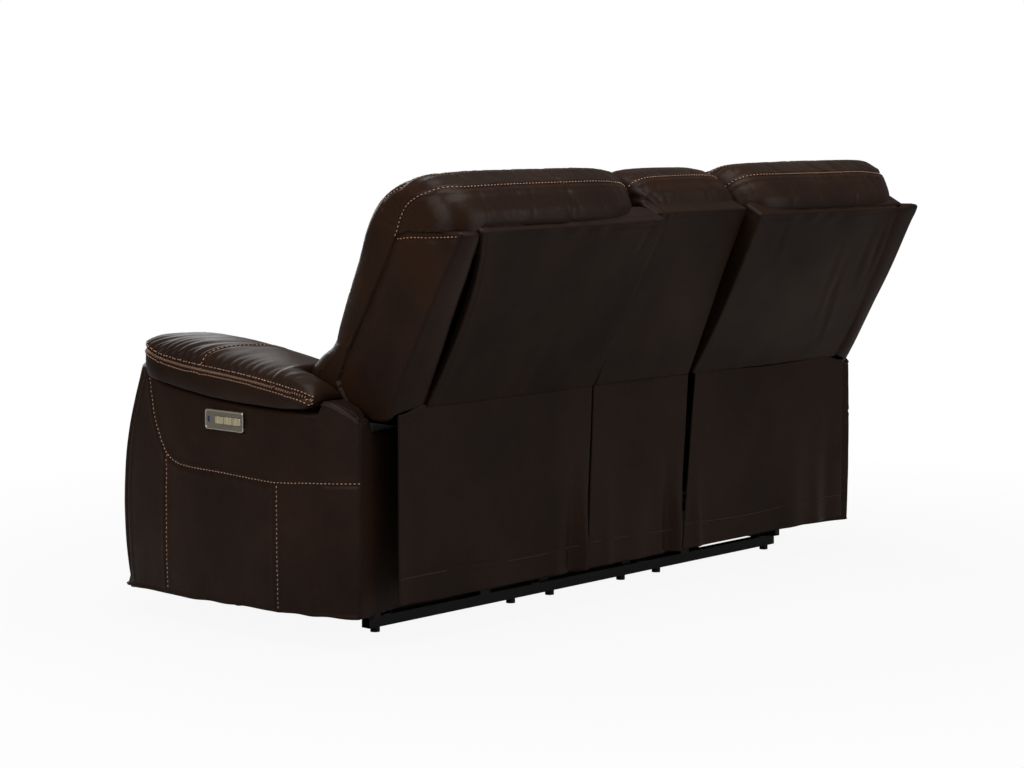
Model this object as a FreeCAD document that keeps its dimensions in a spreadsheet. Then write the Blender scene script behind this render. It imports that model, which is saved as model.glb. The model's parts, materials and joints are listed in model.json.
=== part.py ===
import FreeCAD, Part
import Sketcher
import math
import os
import re
from types import SimpleNamespace

# Power reclining loveseat with a fixed centre console. Left is the sitter's left, at +X, and the front
# is at -Y. The origin is on the floor, under the middle of the whole piece. Lengths are in millimetres.
# "Aft" is measured to the rear from the plane of the arms' rear ends, so what lies in front is negative.

SIZES = [
    ("arm_length", 790, "arms' rear plane to the belly of their fronts"),
    ("arm_outer", 972, "centre line to an arm's widest outer point"),
    ("arm_width", 237, "width of an arm at its widest"),
    ("arm_inner", "=arm_outer - arm_width", "centre line to an arm's inner face"),
    ("arm_bow", 52, "how far an arm's outer face bows out past its rear corner"),
    ("arm_rear_corner", "=arm_outer - arm_bow", "centre line to an arm's rear outer corner"),
    ("arm_rear_slant", 45, "how far an arm's rear face runs forward towards the seat"),
    ("arm_bottom", 66, "floor to the lower edge of the arm covers"),
    ("arm_belly_height", 250, "height at which the arm front reaches furthest"),
    ("arm_front_rake", 45, "how far the arm front falls back at the deck"),
    ("arm_waist", 8, "how far the outer face draws in at its top and bottom"),
    ("arm_corner", 55, "plan depth of the arm's rounded front corners"),
    ("deck_middle", 532, "height of the arm deck halfway"),
    ("deck_rear", "=deck_middle - deck_dip", "height of the arm deck at the pad's rear end"),
    ("deck_dip", 8, "how far that end lies below the middle"),
    ("deck_front", "=deck_middle + deck_rise", "height of the arm deck at the front"),
    ("deck_rise", 60, "how far the deck rises to the front"),
    ("hump_height", "=deck_middle + hump_rise", "height of the cover behind the arm pad"),
    ("hump_rise", 16, "how far the cover there stands above the deck's middle"),
    ("hump_length", 94, "length of that part of the cover"),
    ("arm_rear_top", "=deck_middle - rear_drop", "height of the arm at its rear end"),
    ("rear_drop", 27, "how far the arm's rear end lies below the deck's middle"),
    ("pad_height", 82, "arm pad's height above the deck at its middle"),
    ("pad_overhang", 4, "how far the arm pad stands out past the cover"),
    ("pad_nose", 8, "how far the arm pad's nose stays behind the arm front"),
    ("arm_skin", 10, "inner wall of the arm cover"),
    ("arm_foam", 20, "padding between the arm frame and the cover's outer faces"),
    ("board", 18, "thickness of the plywood boards"),
    ("recess_floor", "=deck_middle - recess_drop", "height of the arm under the seat back's wing"),
    ("recess_drop", 52, "depth of that part below the deck's middle"),
    ("recess_length", 215, "length of the part of the arm that the wing stands over"),
    ("fit_gap", 0.3, "gap between pieces that sit together without touching"),
    ("overcut", 2, "how far a cutting shape runs past what it cuts"),
    ("glide_height", 12, "height of the floor glides"),
    ("glide_radius", 11, "radius of the floor glides"),
    ("glide_end", "=rail_half - glide_inset", "centre line to the end glides"),
    ("glide_inset", 30, "end of a cross rail to its end glide"),
    ("glide_seat", 276, "centre line to the seat glides"),
    ("glide_console", 135, "centre line to the console glides"),
    ("rail_size", 25, "outer width of the square steel tubes"),
    ("rail_wall", 2, "wall of the square steel tubes"),
    ("rail_half", "=arm_inner + arm_skin + board", "centre line to the ends of the cross rails"),
    ("rear_rail", 142, "distance of the rear cross rail in front of the arms' rear plane"),
    ("front_rail", 600, "distance of the front cross rail in front of it"),
    ("bracket_length", 60, "length of the brackets on the cross rails"),
    ("frame_bottom", 92, "height of the arm frames' lower edge"),
    ("plate_length", 128, "length of the control plate"),
    ("plate_height", 46, "height of the control plate"),
    ("plate_depth", 9, "depth of the control plate"),
    ("plate_proud", 3, "how far the control plate stands out of the arm's widest point"),
    ("plate_rear", 311, "distance of the control plate's rear end in front of the arms' rear plane"),
    ("plate_bottom", "=deck_middle - plate_drop", "height of the control plate's lower edge"),
    ("plate_drop", 70, "how far that edge lies below the deck's middle"),
    ("key_pitch", 29, "spacing of the rocker keys"),
    ("key_length", 27, "length of a rocker key"),
    ("key_height", 16, "height of a rocker key"),
    ("key_depth", 5, "depth of a rocker key"),
    ("key_gap", 0.8, "gap round a rocker key"),
    ("key_proud", 1, "how far a rocker key stands out of the plate"),
    ("key_ridge", 1.4, "radius of the ridge that a key rocks on"),
    ("key_margin", 9, "rear end of the plate to the first key's bay"),
    ("usb_slot_length", 6, "width of the socket's mouth along the plate"),
    ("usb_slot_height", 14, "height of the socket's mouth"),
    ("usb_margin", 8, "front end of the plate to the socket's mouth"),
    ("usb_tongue", 2, "thickness of the socket's tongue"),
    ("console_half", 171, "half the width of the console"),
    ("console_front", 760, "distance of the console's front in front of the arms' rear plane"),
    ("console_rear", 100, "distance of its rear wall in front of the same plane"),
    ("console_bottom", 70, "height of the console's lower edge"),
    ("console_top", 540, "height of the console box"),
    ("console_wall", 30, "padded wall of the console box"),
    ("well_rear", 266, "distance of the storage well's rear wall from the arms' rear plane"),
    ("well_front", 505, "distance of the storage well's front wall from the arms' rear plane"),
    ("well_floor", 260, "height of the storage well's floor"),
    ("tray_thickness", 10, "thickness of the cup tray"),
    ("tray_margin", 8, "edge of the console box to the cup tray"),
    ("cup_spacing", 128, "distance between the two cup holders"),
    ("cup_centre", 632, "distance of the cup holders in front of the arms' rear plane"),
    ("cup_radius", 44, "inner radius of a cup holder"),
    ("cup_depth", 72, "inner depth of a cup holder"),
    ("cup_wall", 1.5, "wall of a cup holder"),
    ("cup_rim", 7, "width of a cup holder's rim"),
    ("lid_board", 14, "thickness of the lid's board"),
    ("lid_pad", 46, "height of the lid's pad"),
    ("lid_gap", 4, "gap between the lid and the cup tray"),
    ("hinge_radius", 5, "radius of the lid hinge's pin"),
    ("hinge_knuckle", 9, "outer radius of the lid hinge's knuckles"),
    ("hinge_length", 60, "length of a knuckle"),
    ("hinge_play", 0.06, "radial clearance of the hinge pins"),
    ("seat_inner", 178, "centre line to the inner side of a seat"),
    ("seat_outer", "=arm_inner - seat_room", "centre line to the outer side of a seat"),
    ("seat_room", 7, "gap between a seat and the arm"),
    ("seat_rear", 150, "distance of the seat frame's rear rail in front of the arms' rear plane"),
    ("seat_front", 700, "distance of the seat frame's front rail in front of it"),
    ("seat_frame_bottom", 345, "height of the seat frame's lower edge"),
    ("seat_frame_height", 55, "height of the seat frame"),
    ("seat_rail", 22, "thickness of the seat frame's timber"),
    ("cushion_front", 772, "distance of the seat cushion's front in front of the arms' rear plane"),
    ("cushion_height", 88, "height of a seat cushion at its edge"),
    ("cushion_crown", 14, "how far a seat cushion swells in its middle"),
    ("spring_wire", 3.8, "diameter of the sinuous springs' wire"),
    ("spring_pitch", 52, "length of one wave of a sinuous spring"),
    ("spring_width", 44, "width of a sinuous spring"),
    ("spring_margin", 117.5, "side of a seat to the middle of its first spring"),
    ("spring_spacing", "=(seat_outer - seat_inner - 2 * spring_margin) / 3",
     "distance between the four springs"),
    ("plate_inset", 22, "side of the seat to the middle of the mechanism's side plate"),
    ("side_plate", 5, "thickness of the mechanism's side plates"),
    ("bar_width", 28, "width of the side plates' bars"),
    ("shoe_height", 22, "height of the glide shoes"),
    ("shoe_length", 80, "length of the glide shoes"),
    ("tube_radius", 11, "radius of the mechanism's cross tubes"),
    ("drive_tube", 560, "distance of the front cross tube in front of the arms' rear plane"),
    ("drive_height", 130, "height of the front cross tube"),
    ("motor_tube", 110, "distance of the rear cross tube in front of the same plane"),
    ("motor_height", 205, "height of the rear cross tube"),
    ("motor_spread", 75, "seat's middle line to a motor's middle line"),
    ("motor_casing", 17, "outer radius of a motor's long tube"),
    ("motor_rod", 9, "radius of a motor's rod"),
    ("motor_body", 29, "radius of a motor's body"),
    ("motor_length", 110, "length of a motor's body"),
    ("glide_travel", 70, "how far a seat glides forward"),
    ("pivot_aft", 40, "distance of the back's pivot in front of the arms' rear plane"),
    ("pivot_height", 430, "height of the back's pivot"),
    ("pivot_pin", 8, "radius of the back's pivot pins"),
    ("pivot_boss", 18, "radius of the bosses round the pivot pins"),
    ("pin_play", 0.06, "radial clearance of the pivot pins"),
    ("side_play", 2, "gap between plates that swing past each other"),
    ("back_inner", 180, "centre line to the inner side of a seat back"),
    ("back_outer", "=arm_inner + back_reach", "centre line to the outer edge of a seat back's rear panel"),
    ("back_reach", 102, "how far that edge reaches out over the arm"),
    ("back_lean", 28.5, "lean of a seat back's rear panel from upright, in degrees"),
    ("crease_aft", 33, "distance of the crease above the rear flaps behind the arms' rear plane"),
    ("crease_height", 537, "height of that crease"),
    ("panel_length", "=(top_height - bulge_height - crease_height) / cos(back_lean)",
     "length of the rear panels along their lean"),
    ("bulge_height", 112.53, "rear panels' upper edge to the backs' tops"),
    ("panel_thickness", 14, "thickness of the rear panels"),
    ("frame_depth", 45, "depth of the back frames' timber"),
    ("stile_width", 40, "width of the back frames' timber"),
    ("wing_thickness", 28, "thickness of a side wing at its middle"),
    ("wing_gap", 1.5, "gap between the rear panel's edge and the side wing"),
    ("back_crown", 42, "how far a back cushion's front draws in at its sides"),
    ("neck_radius", 50, "radius of the headrest's roll round its pivot"),
    ("neck_aft", 24.6, "distance of the headrest's pivot in front of the arms' rear plane"),
    ("neck_height", "=top_height - neck_drop", "height of the headrest's pivot"),
    ("neck_drop", 153, "how far that pivot lies below the backs' tops"),
    ("lumbar_front", 266, "distance of a back cushion's lumbar roll in front of the arms' rear plane"),
    ("neck_pin", 5, "radius of the headrest's pivot pins"),
    ("neck_plate", 6, "thickness of the headrest's lugs and arms"),
    ("top_height", 1045, "height of the backs' tops"),
    ("headrest_draw", 34, "how far a headrest's top draws in at its sides"),
    ("soft_gap", 0.8, "gap between soft pieces on different bodies"),
    ("console_lean", 24, "lean of the console back's rear panel from upright, in degrees"),
    ("console_back_half", 172, "half the width of the console back"),
    ("console_back_front", 190, "distance of the console back cushion's foot in front of that plane"),
    ("flap_thickness", 5, "thickness of the rear flaps"),
    ("flap_bead", 3.5, "radius of the welt at a flap's top"),
    ("flap_bottom", 95, "height of the rear flaps' hems"),
    ("flap_fold", 14, "depth of the rear flaps' folds at the hem"),
    ("flap_inner", 186, "centre line to a seat flap's inner edge"),
    ("flap_outer", "=back_outer - flap_inset", "centre line to a seat flap's outer edge"),
    ("flap_inset", 3, "outer edge of the rear panel to that of the flap"),
    ("link_length", 190, "pin to pin length of a footrest link"),
    ("link_width", 12, "half the width of a footrest link"),
    ("link_thickness", 4, "thickness of a footrest link"),
    ("link_pin", 6, "radius of the footrest links' pins"),
    ("link_fold", 85, "angle of the folded links below the horizontal, in degrees"),
    ("link_pivot", 640, "distance of the rear links' pivot in front of the arms' rear plane"),
    ("link_height", 310, "height of the rear links' pivot"),
    ("tie_radius", 8, "radius of the tie tubes between left and right links"),
    ("rest_front", 785, "distance of the closed footrest's face in front of the arms' rear plane"),
    ("rest_pad", 67, "thickness of the footrest's pad"),
    ("rest_board", 15, "thickness of the footrest's board"),
    ("rest_bottom", 105, "height of the closed footrest's lower edge"),
    ("rest_top", 385, "height of the closed footrest's upper edge"),
]

doc = FreeCAD.newDocument("reclining_loveseat")
sheet = doc.addObject("Spreadsheet::Sheet", "Sizes")
for row, (alias, value, meaning) in enumerate(SIZES, start=1):
    sheet.set("A%d" % row, meaning)
    sheet.setAlias("B%d" % row, alias)
for row, (alias, value, meaning) in enumerate(SIZES, start=1):
    sheet.set("B%d" % row, str(value))
doc.recompute()
mm = SimpleNamespace(**{alias: float(sheet.get(alias)) for alias, value, meaning in SIZES})

# The arms' rear plane lies so that the whole depth, from the arm fronts to the tops of the rear panels,
# is centred on the origin.
REAR = ("(arm_length - crease_aft - panel_length * sin(back_lean)"
        " - panel_thickness / 2 * cos(back_lean)) / 2")
lean = math.radians(mm.back_lean)
rear = (mm.arm_length - mm.crease_aft - mm.panel_length * math.sin(lean)
        - mm.panel_thickness / 2 * math.cos(lean)) / 2
nodes = []


def bind(thing, prop, formula):
    """Bind a property to a formula written in the names of the sheet."""
    def cell(word):
        return "Sizes." + word.group() if hasattr(mm, word.group()) else word.group()
    thing.setExpression(prop, re.sub(r"[a-z_]+", cell, formula))


def place_at(thing, x, aft, z):
    bind(thing, "Placement.Base.x", x)
    bind(thing, "Placement.Base.y", "%s + (%s)" % (REAR, aft))
    bind(thing, "Placement.Base.z", z)


def block(name, x, aft, z):
    """A box between two formulas on each axis."""
    solid = doc.addObject("Part::Box", name)
    bind(solid, "Length", "(%s) - (%s)" % (x[1], x[0]))
    bind(solid, "Width", "(%s) - (%s)" % (aft[1], aft[0]))
    bind(solid, "Height", "(%s) - (%s)" % (z[1], z[0]))
    place_at(solid, x[0], aft[0], z[0])
    return solid


TURN = {
    "x": FreeCAD.Rotation(FreeCAD.Vector(0, 1, 0), 90),
    "y": FreeCAD.Rotation(FreeCAD.Vector(1, 0, 0), -90),
    "z": FreeCAD.Rotation(),
}


def rod(name, axis, start, length, radius):
    """A round bar from a start point along +X, +Y or +Z."""
    solid = doc.addObject("Part::Cylinder", name)
    solid.Placement = FreeCAD.Placement(FreeCAD.Vector(), TURN[axis])
    bind(solid, "Radius", radius)
    bind(solid, "Height", length)
    place_at(solid, *start)
    return solid


def fuse(name, *solids):
    whole = doc.addObject("Part::MultiFuse", name)
    whole.Shapes = list(solids)
    return whole


def group(name, *solids):
    whole = doc.addObject("Part::Compound", name)
    whole.Links = list(solids)
    return whole


def cut(name, base, *tools):
    whole = doc.addObject("Part::Cut", name)
    whole.Base = base
    whole.Tool = tools[0] if len(tools) == 1 else fuse(name + "_tools", *tools)
    return whole


def twin(source, name):
    """The same piece on the other side of the centre line."""
    other = doc.addObject("Part::Mirroring", name)
    other.Source = source
    other.Normal = FreeCAD.Vector(1, 0, 0)
    return other


def keep(piece, label):
    piece.Label = label
    nodes.append(piece)


def keep_pair(piece, label):
    keep(piece, "left_" + label)
    keep(twin(piece, "right_" + label), "right_" + label)


def at_x(x):
    return lambda aft, z: FreeCAD.Vector(x, rear + aft, z)


def at_aft(aft):
    return lambda x, z: FreeCAD.Vector(x, rear + aft, z)


def at_height(z):
    return lambda x, aft: FreeCAD.Vector(x, rear + aft, z)


def closed(spot, start, *runs):
    """A closed wire. A run is a point, for a line, or a middle and an end point, for an arc."""
    edges = []
    here = spot(*start)
    for run in runs + (start,):
        if isinstance(run[0], tuple):
            end = spot(*run[1])
            edges.append(Part.Arc(here, spot(*run[0]), end).toShape())
        else:
            end = spot(*run)
            if (end - here).Length < mm.hinge_play:
                continue
            edges.append(Part.LineSegment(here, end).toShape())
        here = end
    return Part.Wire(edges)


def solid_feature(name, shape):
    piece = doc.addObject("Part::Feature", name)
    piece.Shape = shape
    return piece


def loft(name, wires, ruled=False):
    return solid_feature(name, Part.makeLoft(wires, True, ruled))


def prism(name, low, high, start, *runs):
    """A side outline carried along X from low to high."""
    face = Part.Face(closed(at_x(low), start, *runs))
    return solid_feature(name, face.extrude(FreeCAD.Vector(high - low, 0, 0)))


# Floor glides: twelve round feet under the two cross rails, the only parts that stand on the floor.
glides = []
for rail in ("rear_rail", "front_rail"):
    for spot in ("glide_end", "glide_seat", "glide_console"):
        for side in ("", "-"):
            name = "_".join(("glide", rail, spot, "right" if side else "left"))
            glides.append(rod(name, "z", (side + spot, "-" + rail, "0"), "glide_height", "glide_radius"))
keep(group("glide_set", *glides), "floor_glides")


# Cross rails and side rails: square steel tube. The side rails lie on the cross rails, under the side
# plates of the mechanisms.
def tube(name, x, aft, z, along):
    outer = block(name + "_outer", x, aft, z)
    spans = {"x": x, "aft": aft, "z": z}
    inner = {}
    for axis, (low, high) in spans.items():
        if axis == along:
            inner[axis] = (low + " - overcut", high + " + overcut")
        else:
            inner[axis] = (low + " + rail_wall", high + " - rail_wall")
    return cut(name, outer, block(name + "_bore", inner["x"], inner["aft"], inner["z"]))


RAIL_LOW = ("glide_height", "glide_height + rail_size")
RAIL_HIGH = ("glide_height + rail_size", "glide_height + 2 * rail_size")
cross_rails = []
for rail in ("rear_rail", "front_rail"):
    across = ("-%s - rail_size / 2" % rail, "-%s + rail_size / 2" % rail)
    cross_rails.append(tube("cross_" + rail, ("-rail_half", "rail_half"), across, RAIL_LOW, "x"))

# Brackets: steel blocks welded to the cross rails, which carry the arm frames and the console.
brackets = []
for rail in ("rear_rail", "front_rail"):
    run = ("-%s - bracket_length / 2" % rail, "-%s + bracket_length / 2" % rail)
    foot = "glide_height + rail_size"
    under_arm = ("arm_inner + arm_skin", "arm_inner + arm_skin + board")
    brackets.append(block("arm_bracket_" + rail, under_arm, run, (foot, "frame_bottom")))
    run_console = run if rail == "front_rail" else ("-console_rear - bracket_length", "-rear_rail")
    under_console = ("console_half - console_wall", "console_half")
    brackets.append(block("console_bracket_" + rail, under_console, run_console, (foot, "console_bottom")))
brackets += [twin(piece, piece.Name + "_right") for piece in list(brackets)]
keep(group("cross_rail_set", *cross_rails, *brackets), "cross_rails")

PLATE_MIDDLES = {"inner": "seat_inner + plate_inset", "outer": "seat_outer - plate_inset"}
side_rails = []
for place, middle in PLATE_MIDDLES.items():
    width = (middle + " - rail_size / 2", middle + " + rail_size / 2")
    run = ("-front_rail - rail_size / 2", "-rear_rail + rail_size / 2")
    side_rails.append(tube("side_rail_" + place, width, run, RAIL_HIGH, "aft"))
    side_rails.append(twin(side_rails[-1], "side_rail_right_" + place))
keep(group("side_rail_set", *side_rails), "side_rails")

# Arm frames: boxes of plywood boards, open below, inside the arm covers.
CAVITY_X = ("arm_inner + arm_skin", "arm_rear_corner - arm_foam")
CAVITY_AFT = ("-arm_length + 3 * arm_foam", "-arm_rear_slant - arm_foam")
CAVITY_TOP = "recess_floor - arm_foam"
CAVITY_Z = ("frame_bottom", CAVITY_TOP)
arm_boards = [
    block("arm_inner_board", (CAVITY_X[0], CAVITY_X[0] + " + board"), CAVITY_AFT, CAVITY_Z),
    block("arm_outer_board", (CAVITY_X[1] + " - board", CAVITY_X[1]), CAVITY_AFT, CAVITY_Z),
    block("arm_front_board", CAVITY_X, (CAVITY_AFT[0], CAVITY_AFT[0] + " + board"), CAVITY_Z),
    block("arm_rear_board", CAVITY_X, (CAVITY_AFT[1] + " - board", CAVITY_AFT[1]), CAVITY_Z),
    block("arm_top_board", CAVITY_X, CAVITY_AFT, (CAVITY_TOP + " - board", CAVITY_TOP)),
]
arm_frame = fuse("arm_frame", *arm_boards)
keep(group("arm_frame_set", arm_frame, twin(arm_frame, "arm_frame_right")), "arm_frames")


# Arm covers: leather over foam. Each level is one plan outline: two bows for the outer face, a rounded
# front corner, a front, an inner face and a slanted rear face. The front's reach follows a parabola.
def arm_level(z):
    away = (z - mm.arm_belly_height) / (mm.deck_middle - mm.arm_belly_height)
    front = -mm.arm_length + mm.arm_front_rake * away ** 2
    widest = mm.arm_outer - mm.arm_waist * away ** 2
    corner = mm.arm_corner
    bow = widest - mm.arm_rear_corner
    rear_bow = -0.28 * mm.arm_length
    return closed(
        at_height(z),
        (mm.arm_rear_corner, 0),
        ((widest - 0.36 * bow, rear_bow * 0.46), (widest - 0.06 * bow, rear_bow)),
        ((widest, rear_bow * 2), (widest - 0.5 * bow, front + corner)),
        ((widest - 1.1 * bow, front + 0.16 * corner), (widest - 2.1 * bow, front)),
        ((mm.arm_inner + corner, front + 0.1 * corner)),
        ((mm.arm_inner + 0.25 * corner, front + 0.35 * corner), (mm.arm_inner, front + corner)),
        ((mm.arm_inner, -mm.arm_rear_slant)),
    )


arm_below = mm.arm_belly_height - mm.arm_bottom
arm_above = mm.deck_front + mm.overcut - mm.arm_belly_height
arm_levels = [mm.arm_bottom, mm.arm_bottom + 0.51 * arm_below, mm.arm_belly_height,
              mm.arm_belly_height + 0.32 * arm_above, mm.arm_belly_height + 0.64 * arm_above,
              mm.arm_belly_height + arm_above]
arm_block = loft("arm_block", [arm_level(z) for z in arm_levels])

# The deck that the arm pad lies on is a hollow curve in the side view, one arc through three points.
deck_start = -mm.hump_length - mm.overcut
deck_end = -mm.arm_length - mm.overcut
deck_half = (deck_start + deck_end) / 2


def deck_height(aft):
    """Height on the circle through the deck's rear, middle and front points."""
    (xa, za), (xb, zb), (xc, zc) = ((deck_start, mm.deck_rear), (deck_half, mm.deck_middle),
                                    (deck_end, mm.deck_front))
    turn = 2 * (xa * (zb - zc) + xb * (zc - za) + xc * (za - zb))
    squares = [x * x + z * z for x, z in ((xa, za), (xb, zb), (xc, zc))]
    centre_x = (squares[0] * (zb - zc) + squares[1] * (zc - za) + squares[2] * (za - zb)) / turn
    centre_z = (squares[0] * (xc - xb) + squares[1] * (xa - xc) + squares[2] * (xb - xa)) / turn
    radius = math.hypot(xa - centre_x, za - centre_z)
    return centre_z - math.sqrt(radius ** 2 - (aft - centre_x) ** 2)


above_arm = mm.deck_front + 2 * mm.pad_height
over_deck = prism(
    "over_deck", mm.arm_inner - mm.overcut, mm.arm_outer + mm.arm_foam,
    (mm.overcut, above_arm), (mm.overcut, mm.arm_rear_top), (0, mm.arm_rear_top),
    ((-0.5 * mm.hump_length, mm.arm_rear_top + 0.66 * (mm.hump_height - mm.arm_rear_top)),
     (-mm.hump_length, mm.hump_height)),
    (deck_start, mm.deck_rear), ((deck_half, mm.deck_middle), (deck_end, mm.deck_front)),
    (deck_end, above_arm))
RECESS_EDGE = "back_outer + wing_gap + wing_thickness + 3 * overcut"
recess = block("wing_recess", ("arm_inner - overcut", RECESS_EDGE), ("-recess_length", "overcut"),
               ("recess_floor", "top_height"))
arm_cavity = block("arm_cavity", CAVITY_X, CAVITY_AFT, ("arm_bottom - overcut", CAVITY_TOP))
PLATE_X = ("arm_outer + plate_proud - plate_depth", "arm_outer + plate_proud")
PLATE_AFT = ("-plate_rear - plate_length", "-plate_rear")
PLATE_Z = ("plate_bottom", "plate_bottom + plate_height")
plate_seat = block("plate_seat", (PLATE_X[0], PLATE_X[1] + " + overcut"), PLATE_AFT, PLATE_Z)
keep_pair(cut("arm_cover", arm_block, over_deck, recess, arm_cavity, plate_seat), "arm_cover")


# Arm pads: stuffed leather pads on the decks, crowned across and along, with a rounded nose. Each
# station is an outline across the arm: a flat underside, two swelling sides and a crowned top.
def pad_station(aft, height, inset):
    low = deck_height(aft) + mm.fit_gap
    top = low + height
    inner = mm.arm_inner + mm.overcut + inset
    outer = mm.arm_outer + mm.pad_overhang - mm.overcut - inset
    swell = min(mm.pad_overhang, 0.2 * height)
    side = low + 0.62 * height
    return closed(
        at_aft(aft), (inner + swell, low), (outer - swell, low),
        ((outer + swell / 2, low + 0.3 * height), (outer - 2 * swell, side)),
        (((inner + outer) / 2, top), (inner + 2 * swell, side)),
        ((inner - swell / 2, low + 0.3 * height), (inner + swell, low)),
    )


pad_rear = -mm.hump_length - mm.overcut
pad_run = mm.arm_length - mm.pad_nose + pad_rear
# Each row is a share of the pad's length, and the height and the inset there as shares of its height.
PAD_STATIONS = [
    (0, 0.34, 0.17), (0.0656, 0.74, 0.07), (0.204, 0.98, 0.024), (0.437, 1.12, 0),
    (0.656, 1.12, 0), (0.86, 0.98, 0.036), (0.956, 0.66, 0.146), (1, 0.3, 0.415),
]
arm_pad = loft("arm_pad_block", [
    pad_station(pad_rear - along * pad_run, height * mm.pad_height, inset * mm.pad_height)
    for along, height, inset in PAD_STATIONS])
keep_pair(cut("arm_pad", arm_pad, recess), "arm_pad")


# Control plates: one on each arm's outer face, with three bays for rocker keys and a socket's mouth.
def body(name):
    return doc.addObject("PartDesign::Body", name)


def sketch_on(owner, role):
    """A sketch on one of the body's own origin planes."""
    drawing = owner.newObject("Sketcher::SketchObject", owner.Name + "_sketch")
    plane = [feature for feature in owner.Origin.OriginFeatures if feature.Role == role][0]
    drawing.AttachmentSupport = [(plane, "")]
    drawing.MapMode = "FlatFace"
    return drawing


def set_size(drawing, constraint, formula):
    number = drawing.addConstraint(constraint)
    bind(drawing, "Constraints[%d]" % number, formula)


def rectangle(drawing, corner, extent):
    """A rectangle bound to formulas; a corner of None is the sketch's origin."""
    vector = FreeCAD.Vector
    first = drawing.GeometryCount
    spots = [vector(1, 1, 0), vector(9, 1, 0), vector(9, 5, 0), vector(1, 5, 0)]
    for index in range(4):
        drawing.addGeometry(Part.LineSegment(spots[index], spots[(index + 1) % 4]))
    for index in range(4):
        drawing.addConstraint(Sketcher.Constraint("Coincident", first + index, 2, first + (index + 1) % 4, 1))
        level = "Horizontal" if index % 2 == 0 else "Vertical"
        drawing.addConstraint(Sketcher.Constraint(level, first + index))
    if corner is None:
        drawing.addConstraint(Sketcher.Constraint("Coincident", first, 1, -1, 1))
    else:
        set_size(drawing, Sketcher.Constraint("DistanceX", -1, 1, first, 1, 1.0), corner[0])
        set_size(drawing, Sketcher.Constraint("DistanceY", -1, 1, first, 1, 1.0), corner[1])
    set_size(drawing, Sketcher.Constraint("DistanceX", first, 1, first, 2, 8.0), extent[0])
    set_size(drawing, Sketcher.Constraint("DistanceY", first + 1, 1, first + 1, 2, 4.0), extent[1])


def pad_out(owner, drawing, length):
    feature = owner.newObject("PartDesign::Pad", owner.Name + "_pad")
    feature.Profile = drawing
    bind(feature, "Length", length)
    return feature


KEY_BAY_DEPTH = "key_depth - key_proud + key_gap"
plate = body("plate_body")
plate_outline = sketch_on(plate, "YZ_Plane")
rectangle(plate_outline, None, ("plate_length", "plate_height"))
pad_out(plate, plate_outline, "plate_depth - (%s)" % KEY_BAY_DEPTH)
plate_rim = sketch_on(plate, "YZ_Plane")
rectangle(plate_rim, None, ("plate_length", "plate_height"))
bay_count = 3
for bay in range(bay_count):
    corner_y = "plate_length - key_margin - key_gap * 2 - key_length - %d * key_pitch" % bay
    rectangle(plate_rim, (corner_y, "(plate_height - key_height) / 2 - key_gap"),
              ("key_length + 2 * key_gap", "key_height + 2 * key_gap"))
rectangle(plate_rim, ("usb_margin", "(plate_height - usb_slot_height) / 2"),
          ("usb_slot_length", "usb_slot_height"))
pad_out(plate, plate_rim, "plate_depth")
place_at(plate, PLATE_X[0], PLATE_AFT[0], PLATE_Z[0])
keep(group("control_plate_set", plate, twin(plate, "plate_right")), "control_plates")

USB_FRONT = "-plate_rear - plate_length + usb_margin"
tongue = block(
    "usb_tongue_bar",
    (PLATE_X[1] + " - (%s)" % KEY_BAY_DEPTH, PLATE_X[1] + " - key_gap"),
    (USB_FRONT + " + (usb_slot_length - usb_tongue) / 2",
     USB_FRONT + " + (usb_slot_length + usb_tongue) / 2"),
    ("plate_bottom + plate_height / 2 - usb_slot_height / 2 + key_gap",
     "plate_bottom + plate_height / 2 + usb_slot_height / 2 - key_gap"))
keep(group("usb_set", tongue, twin(tongue, "usb_right")), "usb_sockets")

# Rocker keys: each rocks on a ridge at the back of its bay, one half in for each direction.
KEYS = ("headrest", "footrest", "back")
for number, role in enumerate(reversed(KEYS)):
    rear_edge = "-plate_rear - key_margin - key_gap - %d * key_pitch" % number
    middle = rear_edge + " - key_length / 2"
    cap = block(role + "_key_cap",
                (PLATE_X[1] + " + key_proud - key_depth + key_ridge", PLATE_X[1] + " + key_proud"),
                (rear_edge + " - key_length", rear_edge),
                ("plate_bottom + (plate_height - key_height) / 2",
                 "plate_bottom + (plate_height + key_height) / 2"))
    ridge = rod(role + "_key_ridge", "z",
                (PLATE_X[1] + " + key_proud - key_depth + key_ridge", middle,
                 "plate_bottom + (plate_height - key_height) / 2"), "key_height", "key_ridge")
    keep_pair(fuse(role + "_key", cap, ridge), role + "_key")

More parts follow.
